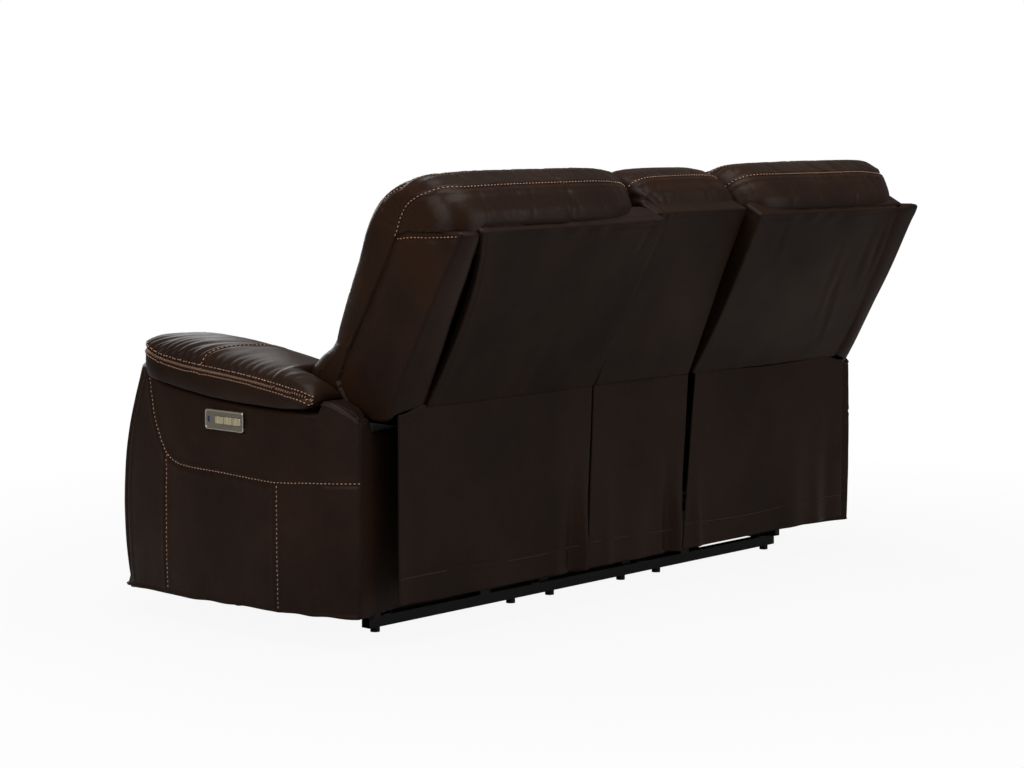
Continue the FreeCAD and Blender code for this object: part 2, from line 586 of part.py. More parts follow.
# Console box: a padded box with a storage well that is open above, and two pockets for the cup holders.
console_shell = block("console_shell", ("-console_half", "console_half"), ("-console_front", "-console_rear"),
                      ("console_bottom", "console_top"))
well = block("console_well", ("-console_half + console_wall", "console_half - console_wall"),
             ("-well_front", "-well_rear"), ("well_floor", "console_top + overcut"))
cup_bores = []
cup_shells = []
cup_holes = []
TRAY_TOP = "console_top + tray_thickness"
for side, sign in (("left", ""), ("right", "-")):
    centre = sign + "cup_spacing / 2"
    outer_radius = "cup_radius + cup_wall"
    floor = TRAY_TOP + " - cup_depth - cup_wall"
    cup_bores.append(rod("cup_bore_" + side, "z", (centre, "-cup_centre", floor + " - fit_gap"),
                         "cup_depth + overcut * 2", outer_radius + " + fit_gap"))
    cup_holes.append(rod("cup_hole_" + side, "z", (centre, "-cup_centre", "console_top - overcut"),
                         "tray_thickness + 2 * overcut", outer_radius + " + fit_gap"))
    shell = rod("cup_shell_" + side, "z", (centre, "-cup_centre", floor), "cup_depth + cup_wall",
                outer_radius)
    rim = rod("cup_rim_" + side, "z", (centre, "-cup_centre", TRAY_TOP), "cup_wall",
              outer_radius + " + cup_rim")
    hollow = rod("cup_hollow_" + side, "z", (centre, "-cup_centre", TRAY_TOP + " - cup_depth"),
                 "cup_depth + overcut * 2", "cup_radius")
    cup_shells.append(cut("cup_" + side, fuse("cup_solid_" + side, shell, rim), hollow))
hinge_spot = {"aft": "-well_rear - hinge_knuckle", "z": "console_top + hinge_knuckle"}
posts = []
for side, sign in (("left", 1), ("right", -1)):
    x_low = "hinge_length / 2 + fit_gap" if sign > 0 else "-hinge_length * 1.5 - fit_gap"
    x_high = "hinge_length * 1.5 + fit_gap" if sign > 0 else "-hinge_length / 2 - fit_gap"
    posts.append(block("hinge_post_" + side, (x_low, x_high),
                       (hinge_spot["aft"], hinge_spot["aft"] + " + 2 * hinge_knuckle"),
                       ("console_top", "console_top + hinge_knuckle")))
    posts.append(rod("hinge_knuckle_" + side, "x", (x_low, hinge_spot["aft"], hinge_spot["z"]),
                     "hinge_length", "hinge_knuckle"))
hinge_pin = rod("hinge_pin", "x", ("-hinge_length", hinge_spot["aft"], hinge_spot["z"]),
                "2 * hinge_length", "hinge_radius")
console_body = cut("console_body", console_shell, well, *cup_bores)
keep(fuse("console_box_whole", console_body, hinge_pin, *posts), "console_box")

tray_blank = block("tray_blank", ("-console_half + tray_margin", "console_half - tray_margin"),
                   ("-console_front + tray_margin", "-well_front - lid_gap * 3"), ("console_top", TRAY_TOP))
keep(cut("cup_tray_cut", tray_blank, *cup_holes), "cup_tray")
keep(group("cup_set", *cup_shells), "cup_holders")

CROWN_SHARES = (0, 0.03, 0.1, 0.25, 0.5, 0.75, 0.9, 0.97, 1)


def crown(share):
    """How much of its edge draw a soft piece has across its width: none in the middle, all at the ends."""
    return abs(2 * share - 1) ** 6


# Console lid: a board with a hinge knuckle round the pin, and a crowned leather pad on it.
LID_AFT = ("-well_front - lid_gap * 2", hinge_spot["aft"] + " - hinge_knuckle - fit_gap * 2")
lid_plate = block("lid_plate", ("-console_half + tray_margin", "console_half - tray_margin"), LID_AFT,
                  ("console_top + fit_gap", "console_top + fit_gap + lid_board"))
lid_barrel = rod("lid_barrel", "x", ("-hinge_length / 2", hinge_spot["aft"], hinge_spot["z"]),
                 "hinge_length", "hinge_knuckle")
lid_leaf = block("lid_leaf", ("-hinge_length / 2", "hinge_length / 2"),
                 (hinge_spot["aft"] + " - 2 * hinge_knuckle", hinge_spot["aft"]),
                 (hinge_spot["z"] + " - hinge_radius", hinge_spot["z"] + " + hinge_radius / 2"))
lid_bore = rod("lid_bore", "x", ("-hinge_length", hinge_spot["aft"], hinge_spot["z"]),
               "2 * hinge_length", "hinge_radius + hinge_play")
lid_whole = fuse("lid_board_whole", lid_plate, lid_barrel, lid_leaf)
keep(cut("lid_board_cut", lid_whole, lid_bore), "console_lid_board")

lid_low = mm.console_top + mm.fit_gap + mm.lid_board
lid_front = -mm.well_front - 2 * mm.lid_gap
lid_back = -mm.well_rear - 2 * mm.hinge_knuckle - 2 * mm.fit_gap
lid_half = mm.console_half - mm.tray_margin


def lid_outline(x, draw):
    front = lid_front + 0.3 * draw
    back = lid_back - 0.3 * draw
    top = lid_low + mm.lid_pad - draw
    shoulder = lid_low + 0.55 * (mm.lid_pad - draw)
    bulge = lid_low + 0.3 * mm.lid_pad
    return closed(
        at_x(x), (back, lid_low), (front, lid_low),
        ((front - 0.065 * mm.lid_pad, bulge), (front + 0.3 * mm.lid_pad, shoulder)),
        (((front + back) / 2, top), (back - 0.565 * mm.lid_pad, shoulder)),
        ((back - 0.174 * mm.lid_pad, bulge), (back, lid_low)),
    )


keep(loft("lid_pad_block", [lid_outline((2 * share - 1) * lid_half, crown(share) * mm.arm_foam)
                            for share in CROWN_SHARES]), "console_lid_pad")


# Seat backs. Their parts are set out along the lean of the rear panel: "up" runs along the lean from
# the crease, and "deep" runs square to it towards the sitter, from the panel's middle plane.
def leaned(angle):
    tilt = math.radians(angle)

    def spot(up, deep):
        aft = mm.crease_aft + up * math.sin(tilt) - deep * math.cos(tilt)
        return aft, mm.crease_height + up * math.cos(tilt) + deep * math.sin(tilt)
    return spot


seat_lean = leaned(mm.back_lean)
console_lean = leaned(mm.console_lean)
half_panel = mm.panel_thickness / 2
frame_front = half_panel + mm.frame_depth


def leaned_block(name, low, high, lean_spot, up, deep):
    """A bar between two distances up the lean and two distances square to it."""
    return prism(name, low, high, lean_spot(up[0], deep[0]), lean_spot(up[1], deep[0]),
                 lean_spot(up[1], deep[1]), lean_spot(up[0], deep[1]))


def rear_panel(name, low, high, lean_spot):
    sheet_block = leaned_block(name + "_blank", low, high, lean_spot, (mm.overcut, mm.panel_length),
                               (-half_panel, half_panel))
    groove = rod(name + "_groove", "x", ("%f" % (low - mm.overcut), "crease_aft", "crease_height"),
                 "%f" % (high - low + 2 * mm.overcut), "flap_bead + fit_gap")
    return cut(name, sheet_block, groove)


keep_pair(rear_panel("back_panel", mm.back_inner, mm.back_outer, seat_lean), "back_panel")
keep(rear_panel("console_panel", -mm.console_back_half, mm.console_back_half, console_lean),
     "console_back_panel")


def back_frame_bars(name, low, high, lean_spot, bottom, top):
    deep = (half_panel, frame_front)
    width = mm.stile_width
    return [
        leaned_block(name + "_inner_stile", low, low + width, lean_spot, (bottom, top), deep),
        leaned_block(name + "_outer_stile", high - width, high, lean_spot, (bottom, top), deep),
        leaned_block(name + "_top_rail", low, high, lean_spot, (top - width, top), deep),
        leaned_block(name + "_bottom_rail", low, high, lean_spot, (bottom, bottom + width), deep),
    ]


frame_low = mm.back_inner + 2 * mm.arm_skin
frame_high = mm.back_outer - mm.arm_skin
frame_bottom_up = mm.arm_foam
frame_top_up = mm.panel_length - 1.5 * mm.arm_foam
back_bars = back_frame_bars("back", frame_low, frame_high, seat_lean, frame_bottom_up, frame_top_up)
timber = fuse("back_timber", *back_bars)

# Pivot arms: steel plates that hang from the back frame and turn on the mechanism's pivot pins.
PIVOT = (-mm.pivot_aft, mm.pivot_height)
leg_top = seat_lean(frame_bottom_up + mm.stile_width / 2, frame_front)
leg_toe = seat_lean(frame_bottom_up + mm.stile_width / 2, half_panel + mm.arm_skin)
leg_heel = seat_lean(frame_bottom_up, half_panel + mm.arm_skin)
arm_gap = mm.side_plate / 2 + mm.side_play
LEG_SIDES = [("inner", mm.seat_inner + mm.plate_inset, 1), ("outer", mm.seat_outer - mm.plate_inset, -1)]
legs = []
for place, middle, sign in LEG_SIDES:
    near = middle + sign * arm_gap
    far = near + sign * mm.side_plate
    low, high = min(near, far), max(near, far)
    strip = prism("leg_strip_" + place, low, high, (PIVOT[0] - mm.pivot_boss, PIVOT[1]),
                  leg_top, leg_toe, leg_heel, (PIVOT[0] + mm.pivot_boss, PIVOT[1]))
    boss_spot = ("%f" % low, "-pivot_aft", "pivot_height")
    hole_spot = ("%f" % (low - mm.overcut), "-pivot_aft", "pivot_height")
    boss = rod("leg_boss_" + place, "x", boss_spot, "side_plate", "pivot_boss")
    hole = rod("leg_hole_" + place, "x", hole_spot, "side_plate + 2 * overcut", "pivot_pin + pin_play")
    legs.append(cut("leg_" + place, fuse("leg_whole_" + place, strip, boss), hole))

# Headrest lugs: plates from the top rail to the pivot pins of the headrest.
NECK = (-mm.neck_aft, mm.neck_height)
seat_middle = (mm.back_inner + mm.back_outer) / 2
lug_spread = mm.stile_width * 4.5
eye = mm.neck_pin + mm.neck_plate
lugs = []
lug_root_low = seat_lean(frame_top_up - mm.stile_width, frame_front)
lug_root_high = seat_lean(frame_top_up - mm.arm_skin / 2, frame_front)
for place, sign in (("inner", -1), ("outer", 1)):
    low = seat_middle + sign * lug_spread - mm.neck_plate / 2
    lugs.append(prism("lug_" + place, low, low + mm.neck_plate, (NECK[0], NECK[1] + eye * 0.9), lug_root_high,
                      lug_root_low, (NECK[0], NECK[1] - eye * 0.9)))
    lugs.append(rod("lug_eye_" + place, "x", ("%f" % low, "-neck_aft", "neck_height"),
                    "neck_plate", "neck_pin + neck_plate"))
    lugs.append(rod("lug_pin_" + place, "x", ("%f" % low, "-neck_aft", "neck_height"),
                    "2 * neck_plate + side_play", "neck_pin"))
motor_top_up = frame_top_up - mm.stile_width
motor_span = 0.55 * (motor_top_up - frame_bottom_up - mm.stile_width)
headrest_motor = leaned_block("headrest_motor_block", seat_middle - mm.arm_foam, seat_middle + mm.arm_foam,
                              seat_lean, (motor_top_up - motor_span, motor_top_up),
                              (half_panel + mm.fit_gap, frame_front - mm.fit_gap))
keep_pair(fuse("back_frame", timber, *legs, *lugs), "back_frame")
keep_pair(headrest_motor, "headrest_motor")


# Side wings: the padded outer sides of the seat backs, convex outwards. Their lower corners are set out
# from the arm's recess by shares of the panel's length, their upper ones from the headrest's pivot.
back_top_aft = mm.crease_aft + mm.panel_length * math.sin(lean)


def beside_neck(across, up):
    """Shares of the way from the headrest's pivot to the panel's top edge, and to the back's top."""
    return NECK[0] + across * (back_top_aft - NECK[0]), NECK[1] + up * (mm.top_height - NECK[1])


def wing_outline(x, draw):
    """The wing's side view, drawn in by a distance all round."""
    unit = mm.panel_length
    base = mm.recess_floor
    upper_front = beside_neck(0.2225, -0.0784)
    upper_step = beside_neck(0.318, 0.0065)
    upper_rear = beside_neck(1, 0.2222)
    corners = [
        (-0.289 * unit + draw, base + 0.2444 * unit + 0.2 * draw),
        (-0.129 * unit, base + 0.1244 * unit + draw),
        (0.111 * unit, base + 0.16 * unit + draw),
        (0.249 * unit - draw, base + 0.2333 * unit + 0.4 * draw),
        (upper_rear[0] - draw, upper_rear[1] - draw), (upper_step[0] + draw, upper_step[1] - draw),
        (upper_front[0] + draw, upper_front[1] - draw), (-0.2133 * unit + draw, base + 0.3778 * unit),
    ]
    return closed(at_x(x), *corners)


wing_low = mm.back_outer + mm.wing_gap
wing_block = loft("wing_block", [
    wing_outline(wing_low, 0), wing_outline(wing_low + 0.6 * mm.wing_thickness, 0.18 * mm.wing_thickness),
    wing_outline(wing_low + mm.wing_thickness, 0.93 * mm.wing_thickness)], ruled=True)
keep_pair(wing_block, "back_wing")
wing_room = loft("wing_room", [wing_outline(wing_low - mm.wing_gap, -mm.soft_gap),
                               wing_outline(wing_low + 3 * mm.wing_thickness, -mm.soft_gap)], ruled=True)


def neck_point(angle, grow=0.0):
    """A point on the roll round the headrest's pivot; 0 degrees is aft and 90 is up."""
    reach = mm.neck_radius + grow
    return NECK[0] + reach * math.cos(math.radians(angle)), NECK[1] + reach * math.sin(math.radians(angle))


# Back cushions: a lumbar roll and the main cushion in one cover, crowned across, with a hollow at the
# top that the headrest's roll turns in. Heights are shares of the way from the seat to that pivot.
cushion_back = frame_front + mm.fit_gap
seat_top = mm.seat_frame_bottom + mm.seat_frame_height + mm.cushion_height


def above_seat(reach, up):
    return -reach * mm.lumbar_front, seat_top + up * (NECK[1] - seat_top)


def back_outline(x, draw):
    gap = mm.soft_gap
    lip = neck_point(217, gap)
    heel, toe, roll = above_seat(0.421, 0.0594), above_seat(0.8647, 0.0495), above_seat(1, 0.2153)
    pinch, chest = above_seat(0.7744, 0.396), above_seat(0.594, 0.6535)
    return closed(
        at_x(x), seat_lean(-3 * mm.arm_foam, cushion_back), heel, (toe[0] + draw, toe[1]),
        ((roll[0] + draw, roll[1]), (pinch[0] + draw, pinch[1])),
        ((chest[0] + draw, chest[1]), (-0.3684 * mm.lumbar_front + 0.45 * draw, lip[1] + mm.soft_gap)),
        lip,
        (neck_point(255, gap), neck_point(290, gap)),
        (neck_point(325, gap), neck_point(355, gap)),
        seat_lean(0.8444 * mm.panel_length, cushion_back),
    )


back_span = mm.back_outer + mm.wing_gap + mm.wing_thickness - mm.overcut - mm.back_inner
back_block = loft("back_cushion_block", [
    back_outline(mm.back_inner + share * back_span, crown(share) * mm.back_crown) for share in CROWN_SHARES])
slots = []
for place, sign in (("inner", -1), ("outer", 1)):
    low = seat_middle + sign * lug_spread - mm.neck_plate * 1.5
    high = low + 5 * mm.neck_plate
    slots.append(prism(
        "lug_slot_" + place, low, high, (NECK[0] - 0.56 * mm.neck_radius, NECK[1] - 1.24 * mm.neck_radius),
        (beside_neck(0.825, 0)[0], NECK[1] - 1.24 * mm.neck_radius), beside_neck(0.825, 0.4575),
        (NECK[0] + 0.24 * mm.neck_radius, NECK[1] + 0.72 * mm.neck_radius),
        (NECK[0] - 0.56 * mm.neck_radius, NECK[1] + 0.32 * mm.neck_radius)))
over_pad = block("over_pad", ("seat_outer", "arm_outer"), ("-arm_length / 2", "-recess_length + 5 * overcut"),
                 ("recess_floor", "deck_middle + 1.25 * pad_height"))
keep_pair(cut("back_cushion", back_block, wing_room, over_pad, *slots), "back_cushion")


# Headrests: the top of each back, a padded block with a roll at its front lower edge and a bulge that
# overhangs the rear panel.
def drawn_down(across, up, forward, down):
    """A point beside the neck, moved to the rear and down."""
    aft, z = beside_neck(across, up)
    return aft + forward, z - down


def headrest_outline(x, draw):
    return closed(
        at_x(x), neck_point(0), (neck_point(-50), neck_point(-105)),
        (neck_point(-158), neck_point(154)),
        (drawn_down(-0.152, 0.353, 0.3 * draw, 0.4 * draw), drawn_down(-0.0345, 0.6405, 0.9 * draw, draw)),
        (drawn_down(0.149, 0.9477, 0.4 * draw, draw), drawn_down(0.428, 1, 0, draw)),
        (drawn_down(0.766, 0.83, -0.4 * draw, draw), drawn_down(0.935, 0.4183, -0.6 * draw, 0)),
    )


headrest_block = loft("headrest_block", [
    headrest_outline(mm.back_inner + share * back_span, crown(share) * mm.headrest_draw)
    for share in CROWN_SHARES])
bracket_low = seat_middle - lug_spread + mm.neck_plate / 2 + mm.side_play / 2
bracket_high = seat_middle + lug_spread + mm.neck_plate / 2 + mm.side_play / 2 + mm.neck_plate
bracket_seat = prism("bracket_seat", bracket_low - mm.neck_plate, bracket_high + mm.neck_plate,
                     beside_neck(0.1785, -0.0784), beside_neck(0.663, 0.183), beside_neck(0.663, 0.4314),
                     beside_neck(0.1785, 0.1634))
keep_pair(cut("headrest_cushion", headrest_block, bracket_seat, *slots), "headrest_cushion")
plate_front, plate_rear_top = beside_neck(0.208, 0.1176), beside_neck(0.641, 0.366)
bracket_plate = prism("bracket_plate", bracket_low, bracket_high, plate_front, plate_rear_top,
                      (plate_rear_top[0], plate_rear_top[1] + mm.neck_plate),
                      (plate_front[0], plate_front[1] + mm.neck_plate))
bracket_parts = [bracket_plate]
bracket_holes = []
for place, sign in (("inner", -1), ("outer", 1)):
    low = seat_middle + sign * lug_spread + mm.neck_plate / 2 + mm.side_play / 2
    eye_spot = ("%f" % low, "-neck_aft", "neck_height")
    hole_spot = ("%f" % (low - mm.overcut), "-neck_aft", "neck_height")
    bracket_parts.append(prism(
        "bracket_arm_" + place, low, low + mm.neck_plate, (NECK[0] - 0.18 * eye, NECK[1] + 0.91 * eye),
        (NECK[0] + 0.73 * eye, NECK[1] - 0.64 * eye), beside_neck(0.311, 0.1438), beside_neck(0.4943, 0.3007),
        beside_neck(0.4943, 0.3203), (plate_front[0], plate_front[1] + mm.neck_plate)))
    bracket_parts.append(rod("bracket_eye_" + place, "x", eye_spot, "neck_plate", "neck_pin + neck_plate"))
    bracket_holes.append(rod("bracket_hole_" + place, "x", hole_spot, "neck_plate + 2 * overcut",
                             "neck_pin + pin_play"))
keep_pair(cut("headrest_bracket", fuse("bracket_whole", *bracket_parts), *bracket_holes), "headrest_bracket")

# Console back: a narrow fixed back on its own frame, which stands on the console's rear wall.
post_outer = mm.console_back_half - mm.arm_skin
console_bars = back_frame_bars("console", -post_outer, post_outer, console_lean, frame_bottom_up,
                               frame_top_up)
post_top = console_lean(frame_bottom_up + mm.stile_width / 2, half_panel)
post_front = console_lean(frame_bottom_up + mm.stile_width / 2, frame_front)
post_foot = mm.console_top - 2 * mm.stile_width
for side, low in (("right", -post_outer), ("left", post_outer - mm.stile_width)):
    console_bars.append(prism("console_post_" + side, low, low + mm.stile_width, post_top, post_front,
                              (-mm.console_rear, mm.console_top), (-mm.console_rear, post_foot),
                              (-mm.console_rear + mm.stile_width, post_foot)))
keep(fuse("console_frame", *console_bars), "console_back_frame")


def console_spot(across, up, back=0.0, down=0.0):
    """Shares of the panel's length and of the console back's height, moved back and down."""
    rise = mm.top_height - mm.console_top
    return across * mm.panel_length + back, mm.console_top + up * rise - down


def console_outline(x, draw):
    low = mm.console_top + mm.fit_gap
    foot = -mm.console_back_front + draw
    down = 0.6 * draw
    overhang = console_lean(frame_top_up + 0.44 * mm.stile_width, cushion_back - 0.55 * mm.frame_depth)
    return closed(
        at_x(x), (-mm.console_rear - mm.lid_gap, low), (foot, low),
        (console_spot(-0.373, 0.475, draw), console_spot(-0.102, 0.8614, 0.8 * draw)),
        (console_spot(0.013, 0.972, 0.4 * draw, down), console_spot(0.173, 0.994, 0, down)),
        (console_spot(0.333, 0.9485, 0, down), (overhang[0] - 0.5 * draw, overhang[1])),
        console_lean(frame_top_up + mm.lid_gap, cushion_back - 0.5 * mm.frame_depth),
        console_lean(frame_top_up + mm.lid_gap, cushion_back),
        console_lean(frame_bottom_up + mm.stile_width / 2 + mm.lid_gap, cushion_back),
    )


keep(loft("console_cushion_block", [
    console_outline((2 * share - 1) * mm.console_back_half, crown(share) * mm.headrest_draw)
    for share in CROWN_SHARES]), "console_back_cushion")


# Rear flaps: leather that hangs from a welt in the crease, with two folds near the inner edge and a
# flat run, the folds growing from the welt down to the hem.
def flap_wire(z, low, high, fold):
    half = mm.flap_thickness / 2
    run = high - low

    def side(shift):
        plane = mm.crease_aft + shift
        return [
            (low, plane),
            ((low + 0.08 * run, plane - fold), (low + 0.16 * run, plane)),
            ((low + 0.23 * run, plane + 0.5 * fold), (low + 0.30 * run, plane)),
            ((low + 0.62 * run, plane - 0.3 * fold), (high, plane)),
        ]
    outer = side(half)
    inner = side(-half)
    back_runs = [(inner[3][0], inner[2][1]), (inner[2][0], inner[1][1]), (inner[1][0], inner[0])]
    return closed(at_height(z), outer[0], *outer[1:], inner[3][1], *back_runs)


def flap(name, low, high):
    hang = loft(name + "_hang", [flap_wire(mm.flap_bottom, low, high, mm.flap_fold),
                                 flap_wire(mm.crease_height, low, high, 0.04 * mm.flap_fold)], ruled=True)
    welt_start = ("%f" % low, "crease_aft", "crease_height")
    welt = rod(name + "_welt", "x", welt_start, "%f" % (high - low), "flap_bead")
    return fuse(name, hang, welt)


keep_pair(flap("seat_flap", mm.flap_inner, mm.flap_outer), "rear_flap")
keep(flap("console_flap", -mm.console_back_half, mm.console_back_half), "console_rear_flap")

# Seat frames: four timber rails that stand on the mechanism's side plates.
SEAT_X = ("seat_inner + 4 * fit_gap", "seat_outer - 4 * fit_gap")
SEAT_Z = ("seat_frame_bottom", "seat_frame_bottom + seat_frame_height")
seat_bars = [
    block("seat_inner_rail", (SEAT_X[0], SEAT_X[0] + " + seat_rail"), ("-seat_front", "-seat_rear"), SEAT_Z),
    block("seat_outer_rail", (SEAT_X[1] + " - seat_rail", SEAT_X[1]), ("-seat_front", "-seat_rear"), SEAT_Z),
    block("seat_front_rail", SEAT_X, ("-seat_front", "-seat_front + seat_rail"), SEAT_Z),
    block("seat_rear_rail", SEAT_X, ("-seat_rear - seat_rail", "-seat_rear"), SEAT_Z),
]
keep_pair(fuse("seat_frame", *seat_bars), "seat_frame")

# Sinuous springs: wires that wave across, hooked between the front and rear rails.
spring_level = mm.seat_frame_bottom + mm.seat_frame_height - 3 * mm.spring_wire
spring_start = -mm.seat_front + mm.seat_rail
spring_end = -mm.seat_rear - mm.seat_rail


def spring(x):
    """One wire: half waves of straight runs and half circles, with a short straight end at each rail."""
    count = int((spring_end - spring_start) // (mm.spring_pitch / 2)) - 1
    radius = mm.spring_pitch / 4
    reach = mm.spring_width / 2 - radius
    margin = (spring_end - spring_start - count * 2 * radius) / 2
    spot = at_height(spring_level)
    edges = [Part.LineSegment(spot(x, spring_start), spot(x, spring_start + margin)).toShape()]
    here = spring_start + margin
    side = 1
    for turn in range(count):
        tip = x + side * reach
        edges.append(Part.LineSegment(spot(x, here), spot(tip, here)).toShape())
        middle = spot(tip + side * radius, here + radius)
        edges.append(Part.Arc(spot(tip, here), middle, spot(tip, here + 2 * radius)).toShape())
        here += 2 * radius
        edges.append(Part.LineSegment(spot(tip, here), spot(x, here)).toShape())
        side = -side
    edges.append(Part.LineSegment(spot(x, here), spot(x, spring_end)).toShape())
    return edges


def spring_solid(x):
    """The wire's solid: a round bar along each straight run and each half circle."""
    parts = []
    radius = mm.spring_wire / 2
    for edge in spring(x):
        start = edge.valueAt(edge.FirstParameter)
        direction = edge.tangentAt(edge.FirstParameter)
        profile = Part.Wire([Part.Circle(start, direction, radius).toShape()])
        parts.append(Part.Wire([edge]).makePipeShell([profile], True, True))
        parts.append(Part.makeSphere(radius, edge.valueAt(edge.LastParameter)))
    return parts[0].fuse(parts[1:-1])


seat_centre = (mm.seat_inner + mm.seat_outer) / 2
SPRING_ROWS = (-1.5, -0.5, 0.5, 1.5)
spring_shapes = [solid_feature("spring_%d" % number, spring_solid(seat_centre + row * mm.spring_spacing))
                 for number, row in enumerate(SPRING_ROWS)]
keep_pair(group("spring_set", *spring_shapes), "seat_springs")


# Seat cushions: crowned, with a rounded front that rolls over the front rail.
def seat_outline(x, draw):
    low = mm.seat_frame_bottom + mm.seat_frame_height
    top = low + mm.cushion_height
    unit = mm.cushion_height
    front = -mm.cushion_front + draw
    back = -mm.seat_rear - mm.seat_rail
    down = 0.4 * draw
    return closed(
        at_x(x), (back, low), (front + 0.295 * unit, low),
        ((front, low + 0.42 * unit), (front + 0.386 * unit, top - 0.068 * unit - 0.5 * draw)),
        (((front + back) / 2 - 0.34 * unit, top + mm.cushion_crown - draw),
         (back - 0.886 * unit, top - 0.045 * unit - down)),
        ((back - 0.205 * unit, top - 0.159 * unit - down), (back, top - 0.341 * unit - down)),
    )


seat_span = mm.seat_outer - mm.seat_inner - 8 * mm.fit_gap
keep_pair(loft("seat_cushion_block", [
    seat_outline(mm.seat_inner + 4 * mm.fit_gap + share * seat_span, crown(share) * 1.6 * mm.cushion_crown)
    for share in CROWN_SHARES]), "seat_cushion")

# Mechanism: two side plates of flat bar on glide shoes that run on the side rails, joined by two cross
# tubes. The plates carry the pins of the back and of the footrest.
RAIL_TOP = "glide_height + 2 * rail_size"
PLATE_LOW = RAIL_TOP + " + fit_gap + shoe_height"
steel = []
shoes = []
for place, middle in PLATE_MIDDLES.items():
    name = "side_plate_" + place + "_"
    thick = (middle + " - side_plate / 2", middle + " + side_plate / 2")
    inward = (1 if place == "inner" else -1)
    steel += [
        block(name + "lower", thick, ("-link_pivot", "-seat_rear"), (PLATE_LOW, PLATE_LOW + " + bar_width")),
        block(name + "upper", thick, ("-link_pivot - link_width", "-pivot_aft - bar_width / 2"),
              ("seat_frame_bottom - bar_width", "seat_frame_bottom")),
        block(name + "front", thick, ("-link_pivot - link_width", "-link_pivot + bar_width"),
              (PLATE_LOW, "seat_frame_bottom")),
        block(name + "middle", thick, ("-drive_tube * 0.7 - bar_width", "-drive_tube * 0.7"),
              (PLATE_LOW, "seat_frame_bottom")),
        block(name + "drive", thick, ("-drive_tube - bar_width / 2", "-drive_tube + bar_width / 2"),
              (PLATE_LOW, "drive_height + bar_width")),
        block(name + "rear", thick, ("-motor_tube - bar_width * 2", "-motor_tube + bar_width / 2"),
              (PLATE_LOW, "seat_frame_bottom")),
        block(name + "neck", thick, ("-pivot_aft - 1.7 * bar_width", "-pivot_aft - bar_width / 2"),
              ("seat_frame_bottom - bar_width", "pivot_height")),
        rod(name + "boss", "x", (thick[0], "-pivot_aft", "pivot_height"), "side_plate", "pivot_boss"),
    ]
    pin_start = thick[0] if inward > 0 else thick[0] + " - 2 * side_play - side_plate"
    steel.append(rod(name + "pin", "x", (pin_start, "-pivot_aft", "pivot_height"),
                     "2 * side_plate + 2 * side_play", "pivot_pin"))
    pin_start = thick[0] if inward > 0 else thick[0] + " - 2 * side_play - link_thickness"
    steel.append(rod(name + "link_pin", "x", (pin_start, "-link_pivot", "link_height"),
                     "side_plate + 2 * side_play + link_thickness", "link_pin"))
    for spot in ("link_pivot - bar_width * 2", "seat_rear + bar_width"):
        width = (middle + " - rail_size / 2", middle + " + rail_size / 2")
        run = ("-(%s) - shoe_length / 2" % spot, "-(%s) + shoe_length / 2" % spot)
        shoes.append(block(name + "shoe_%d" % len(shoes), width, run, (RAIL_TOP + " + fit_gap", PLATE_LOW)))
between = "seat_outer - seat_inner - 2 * plate_inset - side_plate"
TUBES = (("drive", "-drive_tube", "drive_height"), ("motor", "-motor_tube", "motor_height"))
for name, spot, height in TUBES:
    steel.append(rod(name + "_tube", "x", ("seat_inner + plate_inset + side_plate / 2", spot, height),
                     between, "tube_radius"))
MOTOR_X = "(seat_inner + seat_outer) / 2 - motor_spread"
FOOT_MOTOR_X = "(seat_inner + seat_outer) / 2 + motor_spread"
rod_reach = "drive_tube - rear_rail - motor_length * 2"
steel.append(rod("recline_rod", "y", (MOTOR_X, "-drive_tube", "drive_height"),
                 rod_reach, "motor_rod"))
keep_pair(group("mechanism", fuse("mechanism_steel", *steel), *shoes), "seat_mechanism")

# Recline motors: each stands on the rear cross rail, and its tube guides the rod of the carriage.
TUBE_START = "-drive_tube + tube_radius + glide_travel / 4"
casing = rod("recline_casing", "y", (MOTOR_X, TUBE_START, "drive_height"),
             "drive_tube - tube_radius - glide_travel / 4 - rear_rail", "motor_casing")
casing_bore = rod("recline_bore", "y", (MOTOR_X, TUBE_START + " - overcut", "drive_height"),
                  rod_reach + " + overcut", "motor_rod + fit_gap")
foot = block("recline_foot", (MOTOR_X + " - motor_casing", MOTOR_X + " + motor_casing"),
             ("-rear_rail - rail_size / 2", "-rear_rail + rail_size / 2"),
             ("glide_height + rail_size", "drive_height + motor_casing"))
drum = rod("recline_drum", "x", (MOTOR_X, "-rear_rail - motor_body", "drive_height"), "motor_length",
           "motor_body")
recline_motor = cut("recline_motor", fuse("recline_motor_whole", casing, foot, drum), casing_bore)
keep(group("recline_motor_set", recline_motor, twin(recline_motor, "recline_motor_right")), "recline_motors")

# Footrest motors: each hangs between the two cross tubes of its carriage.
foot_casing = rod("footrest_casing", "y", (FOOT_MOTOR_X, "-link_pivot + 4 * bar_width", "motor_height"),
                  "link_pivot - 4 * bar_width - motor_tube - tube_radius", "motor_casing")
foot_drum = rod("footrest_drum", "x", (FOOT_MOTOR_X + " - motor_length",
                                       "-motor_tube - tube_radius - motor_body - motor_rod", "motor_height"),
                "motor_length", "motor_body")
keep_pair(fuse("footrest_motor", foot_casing, foot_drum), "footrest_motor")


# Footrest links: flat steel bars with a pin at one end and a hole at the other, joined left to right by
# tie tubes. They fold behind the closed footrest.
fold = math.radians(mm.link_fold)
LINK_START = (-mm.link_pivot, mm.link_height)
LINK_KNEE = (LINK_START[0] - mm.link_length * math.cos(fold), LINK_START[1] - mm.link_length * math.sin(fold))
LINK_END = (LINK_START[0] - 2 * mm.link_length * math.cos(fold), LINK_START[1])


def along(start, end, share):
    return start[0] + share * (end[0] - start[0]), start[1] + share * (end[1] - start[1])


